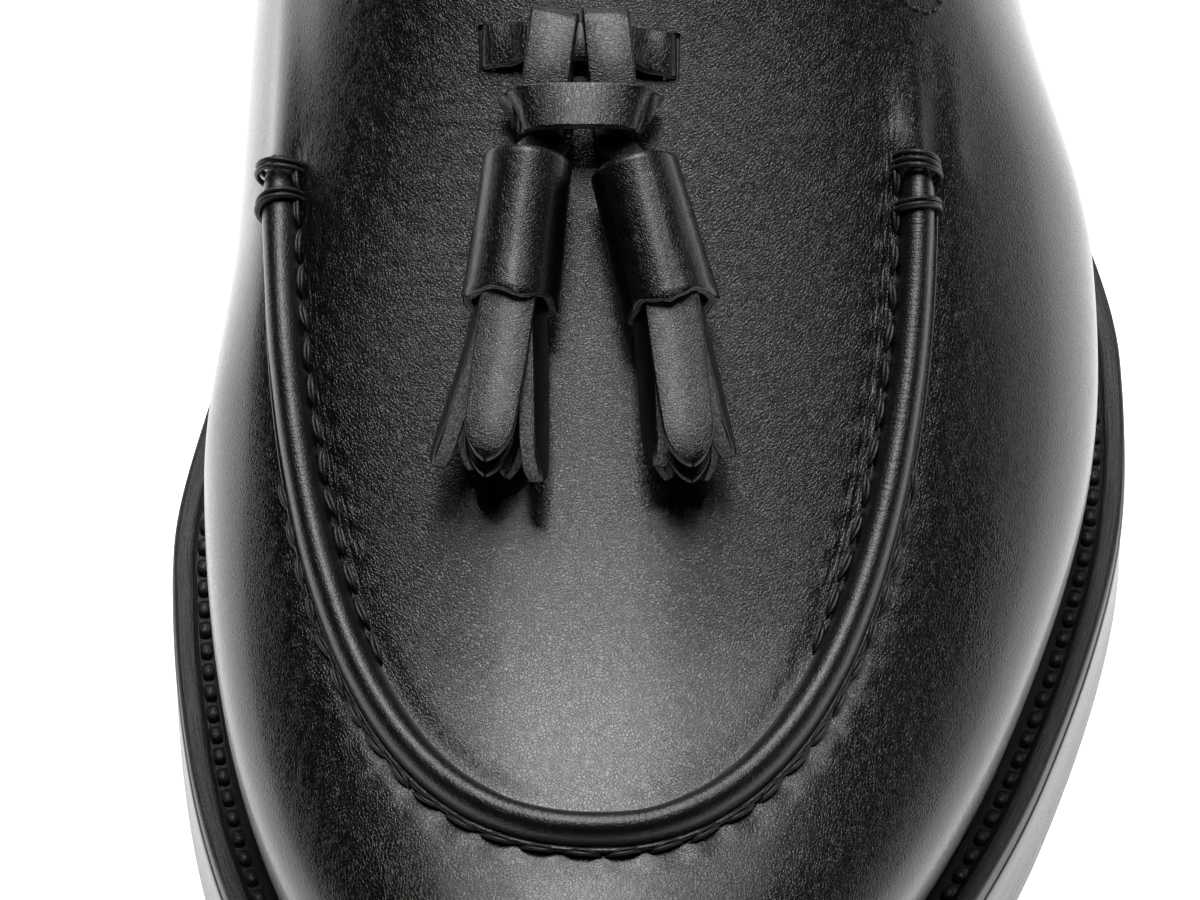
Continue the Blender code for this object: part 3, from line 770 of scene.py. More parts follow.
def strip_sections(route, up_at, section):
    """Sections square to a route; up_at gives the rough upward direction at each point."""
    sections = []
    for index, point in enumerate(route):
        along = direction(route, index)
        across = along.cross(up_at(index)).normalized()
        up = across.cross(along)
        sections.append([point + across * a + up * b for a, b in section(index)])
    return sections


# Stitches


def stitch_tree():
    """Stitches at an even pitch along a path, flat on the surface whose normal is the attribute "up"."""
    tree = bpy.data.node_groups.new("row_of_stitches", "GeometryNodeTree")
    kinds = {"Path": "Geometry", "Stitch": "Object", "Pitch": "Float", "Sway": "Float", "Thread": "Material"}
    for name, kind in kinds.items():
        tree.interface.new_socket(name, in_out="INPUT", socket_type="NodeSocket" + kind)
    tree.interface.new_socket("Row", in_out="OUTPUT", socket_type="NodeSocketGeometry")
    nodes = Nodes(tree)
    given = {name: nodes.add("NodeGroupInput", output=name) for name in kinds}
    curve = nodes.add("GeometryNodeMeshToCurve", {}, {"Mesh": given["Path"]})
    points = nodes.add("GeometryNodeResampleCurve", {"mode": "LENGTH"},
                       {"Curve": curve, "Length": given["Pitch"]})
    up = nodes.add("GeometryNodeInputNamedAttribute", {"data_type": "FLOAT_VECTOR"}, {"Name": "up"})
    tangent = nodes.add("GeometryNodeInputTangent")
    facing = nodes.add("FunctionNodeAxesToRotation", {"primary_axis": "Z", "secondary_axis": "X"},
                       {"Primary Axis": up, "Secondary Axis": tangent})
    sway = nodes.add("FunctionNodeRandomValue", {"data_type": "FLOAT"},
                     {2: -given["Sway"], 3: given["Sway"], "Seed": 7}, 1)
    turn = nodes.add("FunctionNodeAxisAngleToRotation", {}, {"Axis": (0.0, 0.0, 1.0), "Angle": sway})
    turned = nodes.add("FunctionNodeRotateRotation", {"rotation_space": "LOCAL"},
                       {"Rotation": facing, "Rotate By": turn})
    shape = nodes.add("GeometryNodeObjectInfo", {}, {"Object": given["Stitch"]}, "Geometry")
    row = nodes.add("GeometryNodeInstanceOnPoints", {},
                    {"Points": points, "Instance": shape, "Rotation": turned})
    real = nodes.add("GeometryNodeRealizeInstances", {}, {"Geometry": row})
    done = nodes.add("GeometryNodeSetMaterial", {}, {"Geometry": real, "Material": given["Thread"]})
    tree.links.new(done.socket, tree.nodes.new("NodeGroupOutput").inputs["Row"])
    return tree


def oval_stitch(row):
    """A stitch along X that bends down into the leather at both ends, of one or two laid strands."""
    bm = bmesh.new()
    steps = 8
    single = row.strands == 1
    width = row.width if single else row.width * 0.56
    for strand in range(row.strands):
        shift = 0.0 if single else (strand - 0.5) * row.width * 0.52
        sections = []
        for step in range(steps + 1):
            share = 2 * step / steps - 1
            swell = max(1 - abs(share) ** 3.0, 0.04) ** 0.5
            drop = row.rise * (0.9 - 1.5 * abs(share) ** 3)
            twist = shift * math.cos(share * 1.6)
            centre = Vector((share * row.length / 2 + shift * 0.6, twist, drop))
            sections.append([centre + Vector((0, width / 2 * swell * a, row.rise * 0.6 * swell * b))
                             for a, b in circle(1, 7)])
        skin(bm, sections, closed_across=True, capped=True)
    return mesh_from("stitch", bm, [], 60)


def sew(name, path, ups, row, thread, closed=False):
    """A row of stitches along a path of points, as one piece."""
    edges = [(index, index + 1) for index in range(len(path) - 1)]
    if closed:
        edges.append((len(path) - 1, 0))
    mesh = bpy.data.meshes.new(name + "_path")
    mesh.from_pydata([tuple(point) for point in path], edges, [])
    layer = mesh.attributes.new("up", "FLOAT_VECTOR", "POINT")
    layer.data.foreach_set("vector", [value for up in ups for value in up])
    item = helper(name + "_path", mesh)
    shape = helper(name + "_stitch", oval_stitch(row))
    modifier = item.modifiers.new("row", "NODES")
    modifier.node_group = STITCHES
    values = {"Stitch": shape, "Pitch": row.pitch, "Sway": row.sway, "Thread": thread}
    for socket in STITCHES.interface.items_tree:
        if socket.name in values:
            modifier[socket.identifier] = values[socket.name]
    sewn = plain_mesh(item)
    bpy.data.objects.remove(shape, do_unlink=True)
    sewn.name = name
    sewn.shade_smooth()
    return add_piece(name, sewn)


# Upper


def crown_stop(side, y):
    """Angle round the crown where a section ends: the ridge, or the topline where that is lower."""
    rise = crown_rise(y)
    over = topline_height(y) - widest_height(y)
    if over >= rise:
        return math.pi / 2
    power = read(LAST, side + "_power", part_of_length(y))
    return math.asin((over / rise) ** (power / 2))


def open_span():
    """Places where the topline starts at the throat and ends at the back."""
    spans = []
    for low, high in ((TOE + 0.45 * SHOE_LENGTH, 30 * MM), (LAST_ENDS.heel - 0.1 * MM, 100 * MM)):
        for _ in range(40):
            middle = (low + high) / 2
            if topline_height(middle) >= widest_height(middle) + crown_rise(middle):
                low = middle
            else:
                high = middle
        spans.append((low + high) / 2)
    return spans


def upper_half(side, place, belly_steps, crown_steps):
    """Outer face of one half of the upper, from its foot to the topline or the ridge."""
    share = (place - LAST_ENDS.toe) / (LAST_ENDS.heel - LAST_ENDS.toe)
    foot_y = TOE + WELT_REACH + (SHOE_LENGTH - 2 * WELT_REACH) * share
    foot = sole_point(side, foot_y, WELT_REACH, seat(foot_y) + GAP)
    knee = foot + Vector((0, 0, WELT_THICKNESS + GAP))
    width = half_width(LAST, LAST_ENDS, side, place)
    widest = Vector((axis_x(place) + sign(side) * width, place, widest_height(place)))
    points = [foot, knee]
    for step in range(1, belly_steps + 1):
        angle = math.pi / 2 * step / belly_steps
        below = knee.lerp(widest, math.sin(angle))
        rise = (widest.z - knee.z) * (1 - math.cos(angle))
        points.append(Vector((below.x, below.y, knee.z + rise)))
    power = read(LAST, side + "_power", part_of_length(place))
    stop = crown_stop(side, place)
    for step in range(1, crown_steps + 1):
        angle = stop * step / crown_steps
        out = max(math.cos(angle), 0.0) ** (2 / power)
        up = math.sin(angle) ** (2 / power)
        points.append(Vector((axis_x(place) + sign(side) * width * out, place,
                              widest.z + crown_rise(place) * up)))
    return points


def seam_line():
    """Route of the seam and of the pinched leather behind it, as plan points with lengths from the toe."""
    points = [seam_plan(math.pi * step / SEAM_ROUTE_STEPS) for step in range(SEAM_ROUTE_STEPS + 1)]
    tail = SEAM_TAIL_STEPS
    medial = [(points[0][0], points[0][1] + SEAM_FADE * (tail - step) / tail) for step in range(tail)]
    lateral = [(points[-1][0], points[-1][1] + SEAM_FADE * (step + 1) / tail) for step in range(tail)]
    points = np.array([on_vamp(x, y, 0) for x, y in medial + points + lateral])
    lengths = np.concatenate(([0], np.cumsum(np.linalg.norm(np.diff(points, axis=0), axis=1))))
    return points, lengths - lengths[np.argmin(points[:, 1])]


def seam_places(points):
    """Length along the seam and distance from it for each point, positive inside the apron, in mm."""
    route, lengths = seam_line()
    tangents = np.gradient(route, axis=0)
    placed = np.zeros((len(points), 2))
    for start in range(0, len(points), 2000):
        block = points[start:start + 2000]
        gaps = block[:, None, :] - route[None, :, :]
        nearest = np.argmin((gaps ** 2).sum(axis=2), axis=1)
        gap = gaps[np.arange(len(block)), nearest]
        tangent = tangents[nearest]
        tangent = tangent / np.linalg.norm(tangent, axis=1)[:, None]
        side = np.sign(tangent[:, 0] * gap[:, 1] - tangent[:, 1] * gap[:, 0])
        placed[start:start + 2000, 0] = lengths[nearest] + (gap * tangent).sum(axis=1)
        placed[start:start + 2000, 1] = side * np.linalg.norm(gap, axis=1)
    return placed / MM


def ridges(rows, across):
    return sum(row.height * np.exp(-((across - row.centre) / row.width) ** 2) for row in rows)


def seam_relief(along, across):
    """Height in mm that the seam gives the leather beside and behind the piping."""
    tail_medial = -seam_length("medial") / MM
    tail_lateral = seam_length("lateral") / MM
    beyond = np.where(along < 0, tail_medial - along, along - tail_lateral)
    piped = 1 / (1 + np.exp(beyond * PIPING_END_SHARPNESS))
    start = 1 / (1 + np.exp(-beyond * PIPING_END_SHARPNESS))
    inner = ridges(MEDIAL_PLEAT, across) * start * np.clip(1 - beyond / MEDIAL_PLEAT_LENGTH, 0, 1)
    outer = ridges(LATERAL_PLEAT, across) * start * np.clip(1 - beyond / LATERAL_PLEAT_LENGTH, 0, 1) ** 1.2
    beside = ridges(GUTTER, np.abs(across)) * piped + ridges(SWELL, across) * piped
    return beside + np.where(along < 0, inner, outer)


def seam_length(side):
    """Length of the piping from the toe to one end."""
    route, lengths = seam_line()
    end = SEAM_ENDS[side]
    arm = lengths < 0 if side == "medial" else lengths > 0
    index = np.argmin(np.where(arm, np.abs(route[:, 1] - end), 1))
    return abs(lengths[index])


def make_upper(leather, lining):
    """Lasted wall with the seam's relief, its thickness and two slots, and the places where it opens."""
    throat, back = open_span()
    fine = stations(LAST_ENDS.toe, LAST_ENDS.heel, UPPER_STATIONS, ROUND_STATIONS)
    near = 4 * MM            # stations crowd together this near to the ends of the topline
    near_back = near * 0.8
    closer = 12
    places = [y for y in fine if abs(y - throat) > near and abs(y - back) > near_back]
    for step in range(closer + 1):
        places.append(throat + near * (step / closer) ** 2)
        places.append(throat - near * (step / closer) ** 1.3)
        places.append(back - near_back * (step / closer) ** 2)
    places.append(back + near * 0.4)
    places = sorted(set(round(y, 8) for y in places))
    bm = bmesh.new()
    for side in ("medial", "lateral"):
        skin(bm, [upper_half(side, place, BELLY_STEPS, CROWN_STEPS) for place in places])
    mesh = mesh_from("upper", bm, [leather, lining], 70)
    points, normals = np.empty((2, len(mesh.vertices), 3))
    mesh.vertices.foreach_get("co", points.ravel())
    mesh.vertices.foreach_get("normal", normals.ravel())
    placed = seam_places(points)
    fade = np.clip((QUARTER_PLAIN - points[:, 1]) / (QUARTER_PLAIN - QUARTER_START), 0, 1)
    lift = seam_relief(placed[:, 0], placed[:, 1]) * fade
    mesh.vertices.foreach_set("co", (points + normals * lift[:, None] * MM).ravel())
    corners = np.empty(len(mesh.loops), dtype=np.int32)
    mesh.loops.foreach_get("vertex_index", corners)
    layer = mesh.uv_layers.new(name="seam")
    layer.data.foreach_set("uv", placed[corners].ravel())
    item = helper("upper_wall", mesh)
    wall = item.modifiers.new("wall", "SOLIDIFY")
    wall.thickness = WALL
    wall.offset = -1
    wall.material_offset = 1
    for x in STRAP_ENDS:
        slot = item.modifiers.new("slot", "BOOLEAN")
        slot.operation = "DIFFERENCE"
        slot.object = slot_cutter(x)
    cutters = [modifier.object for modifier in item.modifiers if modifier.type == "BOOLEAN"]
    finished = plain_mesh(item)
    for cutter in cutters:
        bpy.data.objects.remove(cutter, do_unlink=True)
    finished.name = "upper"
    return add_piece("upper_leather", finished, ["upper"]), throat, back


def slot_cutter(x):
    y = strap_y(x)
    normal = crown_normal(x, y)
    turn = Vector((0, 0, 1)).rotation_difference(normal).to_matrix().to_4x4()
    size = Matrix.Diagonal((LACE_THICKNESS + SLOT_PLAY, LACE_WIDTH + SLOT_END_PLAY, WALL * 4, 1))
    bm = bmesh.new()
    bmesh.ops.create_cube(bm, size=1, matrix=Matrix.Translation(on_vamp(x, y, 0)) @ turn @ size)
    mesh = bpy.data.meshes.new("slot")
    bm.to_mesh(mesh)
    bm.free()
    item = helper("slot", mesh)
    item.hide_render = True
    return item


def topline_route(throat, back):
    """Points of the topline from the throat round the inner side, the back and the outer side."""
    shares = [0.5 - 0.5 * math.cos(math.pi * step / TOPLINE_STEPS) for step in range(TOPLINE_STEPS + 1)]
    rows = [throat + (back - throat) * share for share in shares]
    medial = [upper_half("medial", y, 2, 2)[-1] for y in rows]
    lateral = [upper_half("lateral", y, 2, 2)[-1] for y in reversed(rows)]
    return medial[:-1] + lateral[:-1]


# Pieces of the upper


def plan_frame(route, step):
    """Unit vectors across a plan route on the upper, and square to the upper."""
    before = route[max(step - 1, 0)]
    after = route[min(step + 1, len(route) - 1)]
    along = on_vamp(*after, 0) - on_vamp(*before, 0)
    normal = crown_normal(*route[step])
    return along.cross(normal).normalized(), normal


def make_piping(leather):
    """Round piping with narrower ends, and the thin lip of the side leather along its outer foot."""
    steps = 260
    half = PIPING_WIDTH / 2
    profile = [(half * math.cos(angle), PIPING_RISE * math.sin(angle)) for angle in arc(-20, 200, 11)]
    route = [seam_plan(math.pi * step / steps) for step in range(steps + 1)]
    sections = []
    for step, (x, y) in enumerate(route):
        across, normal = plan_frame(route, step)
        middle = on_vamp(x, y, 0.15 * MM)
        wander = 1 + 0.035 * noise.noise(Vector((step * 0.11, 0.3, 0)))
        sections.append([middle + across * a * wander + normal * b * wander for a, b in profile])
    narrowed = 4
    for end, step in ((0, 1), (-1, -1)):
        for index in range(narrowed):
            shrink = 0.45 + 0.55 * math.sin(math.radians(90 * index / narrowed))
            row = end + step * index
            centre = sum(sections[row], Vector()) / len(sections[row])
            sections[row] = [centre.lerp(point, shrink) for point in sections[row]]
    add_skin("seam_piping", [sections], [leather], "upper_leather", ["apron_piping"], capped=True)

    lip = route[narrowed:-narrowed]
    lip_section = rounded(LIP_WIDTH, LIP_THICKNESS, LIP_EASE)
    sections = []
    for step, (x, y) in enumerate(lip):
        across, normal = plan_frame(lip, step)
        beside = on_vamp(x, y, 0) + across * (half + LIP_OUT)
        outer = on_vamp(beside.x, beside.y, LIP_OUT)
        sections.append([outer + across * a + normal * b for a, b in lip_section])
    add_skin("seam_lip", [sections], [leather], "upper_leather", capped=True)


def seam_path(first, last, distance, rise, count):
    """Path beside the seam between two lengths from the toe, and its normals."""
    route, lengths = seam_line()
    path = []
    ups = []
    for step in range(count + 1):
        length = first + (last - first) * step / count
        index = int(np.clip(np.searchsorted(lengths, length), 1, len(route) - 2))
        here = Vector(route[index])
        along = Vector(route[index + 1] - route[index - 1])
        normal = crown_normal(here.x, here.y)
        across = along.cross(normal).normalized()
        beside = here + across * distance
        path.append(on_vamp(beside.x, beside.y, rise))
        ups.append(crown_normal(beside.x, beside.y))
    return path, ups


def make_seam_stitches(thread):
    medial = seam_length("medial")
    lateral = seam_length("lateral")
    runs = [
        SeamRun("medial", -medial + 3 * MM, -38 * MM, -2.5 * MM),
        SeamRun("lateral", 38 * MM, lateral - 3 * MM, -2.5 * MM),
        SeamRun("toe", -60 * MM, 60 * MM, 2.75 * MM),
    ]
    for run in runs:
        path, ups = seam_path(run.first, run.last, run.beside, 0.1 * MM, 120)
        sew("seam_stitches_" + run.name, path, ups, SEAM_THREAD, thread)


def make_wraps(thread):
    """Two wraps of thread across the piping at each end of the seam."""
    runs = []
    half = PIPING_WIDTH / 2
    ring = circle(WRAP_THREAD_RADIUS, 8)
    for length, inward in ((-seam_length("medial"), 1), (seam_length("lateral"), -1)):
        for wrap, back in enumerate(WRAP_PLACES):
            for strand in range(WRAP_STRANDS):
                place = length + inward * (back + strand * WRAP_PITCH)
                (foot, _), (normal, _) = seam_path(place, place + 0.1 * MM, 0, 0, 1)
                (behind, ahead), _ = seam_path(place - MM, place + MM, 0, 0, 1)
                along = (ahead - behind).normalized()
                across = along.cross(normal).normalized()
                slant = 0.35 * MM * (1 if wrap else -1)
                slant += 0.3 * MM * noise.noise(Vector((strand, wrap, length * 90)))
                lift = 0.42 * MM + 0.12 * MM * ((strand * 7 + wrap) % 3)
                route = []
                for angle in arc(-30, 210, 15):
                    out = (half + lift) * math.cos(angle)
                    up = (PIPING_RISE + lift) * math.sin(angle)
                    lean = slant * math.cos(angle)
                    route.append(foot + across * out + normal * (up + 0.1 * MM) + along * lean)
                runs.append(strip_sections(route, lambda index: along, lambda index: ring))
    add_skin("seam_wraps", runs, [thread], "upper_leather", capped=True)


def make_side_stitches(thread):
    """Short loop of stitches on the outer side, at the upper edge of the photo."""
    half = SIDE_LOOP_HALF
    straight = 8
    plan = [(-half, SIDE_LOOP_LENGTH * (1 - step / straight)) for step in range(straight)]
    plan += [(half * math.cos(angle), half * math.sin(angle)) for angle in arc(180, 360, 15)]
    plan += [(half, SIDE_LOOP_LENGTH * (step + 1) / straight) for step in range(straight)]
    places = [(SIDE_LOOP.x + x, SIDE_LOOP.y + y) for x, y in plan]
    path = [on_vamp(x, y, 0) for x, y in places]
    ups = [crown_normal(x, y) for x, y in places]
    sew("side_stitches", path, ups, SIDE_THREAD, thread)


def make_topline(throat, back, leather, thread, upper):
    """Folded edge round the collar and the row of stitches under it."""
    route = topline_route(throat, back)
    tree = BVHTree.FromPolygons([v.co[:] for v in upper.data.vertices],
                                [p.vertices[:] for p in upper.data.polygons])
    sections = []
    path = []
    ups = []
    count = len(route)
    ring = circle(1, 14)
    outward = [crown_normal(point.x, min(point.y, LAST_ENDS.heel - 2 * MM)) for point in route]
    for index, point in enumerate(route):
        along = direction(route, index, closed=True)
        normal = square_to(sum((outward[(index + shift) % count] for shift in range(-4, 5)), Vector()), along)
        down = normal.cross(along).normalized()
        rim = point - normal * (WALL * 0.5)
        sections.append([rim + normal * (EDGE_RADIUS * a) - down * (EDGE_DEPTH * b) for a, b in ring])
        under, up, _, _ = tree.find_nearest(point + down * EDGE_TO_STITCHES)
        path.append(under)
        ups.append(up if up.dot(normal) > 0 else normal)
    add_skin("topline_edge", [sections], [leather], "upper_leather", closed_along=True)
    sew("topline_stitches", path, ups, TOPLINE_THREAD, thread, closed=True)


# Tassel set


def strap_y(x):
    """Middle line of the lace bar in plan."""
    share = (x - STRAP_ENDS[0]) / (STRAP_ENDS[1] - STRAP_ENDS[0])
    return STRAP_END_Y[0] + (STRAP_END_Y[1] - STRAP_END_Y[0]) * share


def make_strap(finishes):
    """Lace bar out of one slot, up over the loops' lower legs and down into the other slot."""
    high = LACE_THICKNESS * 1.5 + 2 * GAP
    left, right = STRAP_ENDS
    corner = [(0.0, -(WALL + 0.6 * MM)), (0.0, -0.4 * MM), (0.25 * MM, 0.35 * MM), (1.1 * MM, 0.75 * MM),
              (3.2 * MM, 1.15 * MM), (5.4 * MM, high - 0.2 * MM)]
    controls = [(left + run, rise) for run, rise in corner] + [((left + right) / 2, high)]
    controls += [(right - run, rise) for run, rise in reversed(corner)]
    steps = 90
    route = smooth_route([on_vamp(x, strap_y(x), rise) for x, rise in controls], steps)

    def section(index):
        middle = min(abs(index / steps - 0.5) / 0.17, 1.0)
        width = LACE_SQUEEZED + (LACE_WIDTH - LACE_SQUEEZED) * middle ** 4
        return rounded(width, LACE_THICKNESS, LACE_EASE)

    def up_at(index):
        return Vector((0, 1, 0.38)).cross(direction(route, index))

    add_strips("lace_bar", [strip_sections(route, up_at, section)], finishes, ["vamp_strap"], capped=True)


def make_loop(row, finishes):
    """Lace folded round the bar, its two legs running under the tie."""
    low = GAP + LACE_THICKNESS / 2
    high = low + 2 * (LACE_THICKNESS + GAP)
    mid = (low + high) / 2
    turn = (high - low) / 2
    back = LOOP_FOLD - turn
    front = LOOP_FRONT + turn
    route = [(front + (back - front) * share, low) for share in (0, 0.25, 0.5, 0.75)]
    route += [(back + turn * math.cos(angle), mid + turn * math.sin(angle)) for angle in arc(-90, 90, 15)]
    for share in (0.2, 0.4, 0.6, 0.8, 1.0):
        route.append((back + (front - back) * share, high + LOOP_ARCH * math.sin(math.pi * share)))
    route += [(front - turn * math.cos(angle), mid + turn * math.sin(angle)) for angle in arc(60, -60, -30)]
    points = []
    for y, rise in route:
        share = (y - LOOP_FRONT) / (LOOP_FOLD - LOOP_FRONT)
        points.append(on_vamp(row.front_x + (row.back_x - row.front_x) * share, y, rise))
    flat = rounded(LOOP_WIDTH, LACE_THICKNESS, LACE_EASE)
    sections = []
    for index, point in enumerate(points):
        along = direction(points, index, closed=True)
        across = square_to(Vector((-1, 0, 0)), along)
        up = across.cross(along)
        share = (point.y - LOOP_FRONT) / (LOOP_FOLD - LOOP_FRONT)
        across += Vector((0, row.slant * max(share, 0) ** 2, 0))
        sections.append([point + across * a + up * b for a, b in flat])
    add_strips("lace_" + row.name, [sections], finishes, [row.name], closed_along=True)


def make_tie(finishes):
    """Band across both loops with its ends folded back under it."""
    top = GAP + 3 * (LACE_THICKNESS + GAP) + LACE_THICKNESS / 2 + 0.5 * MM
    low = GAP + LACE_THICKNESS * 1.5
    route = []
    for angle in arc(-84, 84, 7):
        share = math.sin(angle)
        fall = math.cos(angle) ** 0.35
        route.append((TIE_CENTRE + TIE_HALF_WIDTH * share, low + (top - low) * fall, share))
    tucks = []
    for degrees in (30, 75, 120, 165):
        angle = math.radians(degrees)
        tucks.append((0.95 * MM * math.sin(angle), 0.85 * MM * (math.cos(angle) - 1), degrees / 165))
    first = route[0]
    last = route[-1]
    before = [(first[0] - out, first[1] + down, -1 - 0.3 * share) for out, down, share in reversed(tucks)]
    after = [(last[0] + out, last[1] + down, 1 + 0.3 * share) for out, down, share in tucks]
    before.insert(0, (first[0] + TIE_TUCK, before[0][1] + 0.1 * MM, -1.3))
    after.append((last[0] - TIE_TUCK, after[-1][1] + 0.1 * MM, 1.3))
    route = before + route + after
    points = [on_vamp(x, TIE_Y + 0.25 * MM * share ** 2, rise) for x, rise, share in route]
    sections = []
    for index, point in enumerate(points):
        along = direction(points, index)
        share = route[index][2]
        across = square_to(Vector((-TIE_TAPER * share * abs(share), -1, -0.3)), along)
        up = across.cross(along) * -1
        width = TIE_WIDTH * (1 - 0.05 * min(abs(share), 1) ** 2)
        flat = rounded(width, LACE_THICKNESS, LACE_EASE)
        curled = [(a, b - TIE_CURL * (2 * a / width) ** 2) for a, b in flat]
        sections.append([point - across * a + up * b for a, b in curled])
    add_strips("lace_tie", [sections], finishes, ["tie_band"], capped=True)


def tassel_frame(row):
    """Place of a cap: X down its axis from the top, Z away from the vamp."""
    lift = CAP_RADIUS + GAP + CAP_PLAY
    top = on_vamp(row.top_x, row.top_y, lift)
    foot = on_vamp(row.foot_x, row.foot_y, lift)
    along = (foot - top).normalized()
    up = square_to(crown_normal(row.foot_x, row.foot_y), along)
    turned = Matrix((along, up.cross(along), up)).transposed().to_4x4()
    turned.translation = top
    return turned


def cap_radius(angle, run, roll):
    """Radius of the rolled cap: a spiral whose end lies over its start, a little uneven."""
    spiral = CAP_RADIUS - CAP_SPIRAL * angle / (2 * math.pi) + CAP_FLARE * (run / CAP_LENGTH) ** 1.5
    uneven = 0.10 * MM * noise.noise(Vector((math.cos(angle) * 1.5, math.sin(angle) * 1.5, run * 200 + roll)))
    return spiral + uneven


def make_cap(row, finishes):
    """Rolled cap with a closed top and a scalloped lower edge that shows the leather's thickness."""
    turned = tassel_frame(row)

    def middle(run):
        return [turned @ Vector((run, 0, 0))] * CAP_COLUMNS

    def ring(shrink, run_of):
        section = []
        for column in range(CAP_COLUMNS):
            angle = 2 * math.pi * column / (CAP_COLUMNS - 1)
            run = run_of(angle)
            radius = cap_radius(angle, run, row.roll) - shrink
            turn = angle + row.roll
            section.append(turned @ Vector((run, radius * math.sin(turn), radius * math.cos(turn))))
        return section

    def scallop(angle):
        turn = angle * CAP_NOTCHES / (2 * math.pi) + row.roll * 0.7
        return (0.9 * abs(turn % 1 - 0.5) * 2 + 0.25 * abs((turn * 3.3) % 1 - 0.5) - 0.7) * MM

    top = [middle(0.35 * MM), ring(1.4 * MM, lambda angle: 0.25 * MM), ring(0.7 * MM, lambda angle: 0.0)]
    side = []
    for run in CAP_RUNS:
        ease = max(CAP_TOP_EASE - run, 0) * MM
        side.append(ring(ease, lambda angle, run=run: (run + 0.1) * MM))
    wall = CAP_WALL / MM
    lip = []
    for shrink, back in ((0.0, 0.25), (0.08, 0.08), (0.3, 0.0), (wall - 0.25, 0.0), (wall, 0.15)):
        lip.append(ring(shrink * MM, lambda angle, back=back: CAP_LENGTH - back * MM + scallop(angle)))
    inside = [ring(CAP_WALL + 0.1 * MM, lambda angle: CAP_LENGTH - 4 * MM), middle(CAP_LENGTH - 4.2 * MM)]
    cut = len(top) + len(side) + 2

    def finish(section, column):
        overlap = column == CAP_COLUMNS - 1 and section >= len(top)
        return 1 if overlap or section in (cut, cut + 1) else 0

    runs = [top + side + lip + inside]
    add_skin("cap_" + row.name, runs, finishes, "lace_leather", [row.name], 50, finish_of=finish)


def fringe_sections(strip, side):
    """Sections of one strip, bent round the cap's axis, with a pointed end and a slight curl of its own."""
    ring = CAP_RADIUS - CAP_WALL - strip.thickness / 2 - strip.depth
    turn = Matrix.Rotation(math.radians(strip.turn), 4, "X")
    steps = 26
    sections = []
    for step in range(steps + 1):
        share = step / steps
        eased = 1 - (1 - share) ** 1.5 if share > 0.5 else share * (1 - 0.5 ** 1.5) / 0.5
        run = STRIP_ROOT + (side.length - STRIP_ROOT) * eased
        left = side.length - run
        point = min(left / STRIP_POINT, 1.0)
        narrow = strip.width / 2 * max((1 - (1 - point) ** 2.2) ** 0.62, 0.06)
        narrow *= 0.9 + 0.1 * min(left / STRIP_TAPER, 1)
        past = max(run, 0.0)
        down = past / side.length
        height = ring + math.tan(math.radians(side.splay)) * past
        height += strip.curl * MM * down ** 2 * math.sin(2.6 * down)
        bend = (1 - strip.flatness * (0.8 + 0.2 * down)) / ring
        thick = strip.thickness * (1 if left > MM else 0.8 + 0.2 * left / MM)
        section = []
        for a, b in rounded(2 * narrow, thick, min(STRIP_EASE, narrow * 0.9)):
            angle = a * bend
            radius = 1 / bend + b
            rise = height + radius * math.cos(angle) - 1 / bend
            section.append(turn @ Vector((CAP_LENGTH + run, radius * math.sin(angle), rise)))
        sections.append(section)
    return sections


def make_fringe(row, finishes):
    """Strips that hang out of the cap."""
    root = Matrix.Translation((CAP_LENGTH - 2 * MM, 0, 0))
    hung = tassel_frame(row) @ root @ Matrix.Rotation(math.radians(row.hang), 4, "Z") @ root.inverted()
    runs = []
    for strip in STRIPS:
        side = {SIDE_TURN: row.left, -SIDE_TURN: row.right}.get(strip.turn, strip)
        runs.append([[hung @ point for point in section] for section in fringe_sections(strip, side)])
    add_strips("fringe_" + row.name, runs, finishes, capped=True)


def make_neck(row, finishes):
    """Lace that runs from under the tie into the top of a cap."""
    turned = tassel_frame(row)
    into = turned @ Vector((2.0 * MM, 0, 0))
    edge_of_cap = turned @ Vector((-0.6 * MM, 0, 0))
    front = TIE_Y - TIE_WIDTH / 2
    start = on_vamp(row.neck_x, front + 3 * MM, GAP + LACE_THICKNESS * 1.2)
    out = on_vamp(row.neck_x * 0.75 + row.top_x * 0.25, front - 0.3 * MM, 2.2 * MM)
    route = smooth_route([start, out, edge_of_cap, into], 24)
    normal = crown_normal(row.top_x, row.top_y)
    flat = rounded(NECK_WIDTH, LACE_THICKNESS, STRIP_EASE)
    sections = strip_sections(route, lambda index: normal, lambda index: flat)
    add_strips("neck_" + row.name, [sections], finishes, capped=True)


# Welt, sole and heel


def outline_points(side, place, rings, first=TOE):
    """Points of rings of (inset from the sole's outline, height function) at one place along the shoe."""
    points = []
    for inset, height in rings:
        low = first + inset if first == TOE else first
        y = low + (HEEL - inset - low) * (place - first) / (HEEL - first)
        points.append(sole_point(side, y, inset, height(y)))
    return points


def make_slab(name, rings, finishes, slot, nodes, first=TOE):
    """Closed slab between rings of the sole's outline."""
    whole = first == TOE
    sections = []
    for place in stations(first, HEEL, SOLE_STATIONS if whole else HEEL_STATIONS, ROUND_STATIONS, whole):
        medial = outline_points("medial", place, rings, first)
        sections.append(medial + outline_points("lateral", place, rings, first)[::-1])
    piece = add_skin(name, [sections], finishes, slot, nodes, 40, capped=not whole)
    if len(finishes) > 1:
        for face in piece.data.polygons:
            face.material_index = 1 if face.normal.z < -0.8 else 0


def quarter_turn(steps):
    return [math.radians(90 * step / steps) for step in range(steps + 1)]


def above(height_function, rise):
    return lambda y: height_function(y) + rise


def level(height):
    return lambda y: height


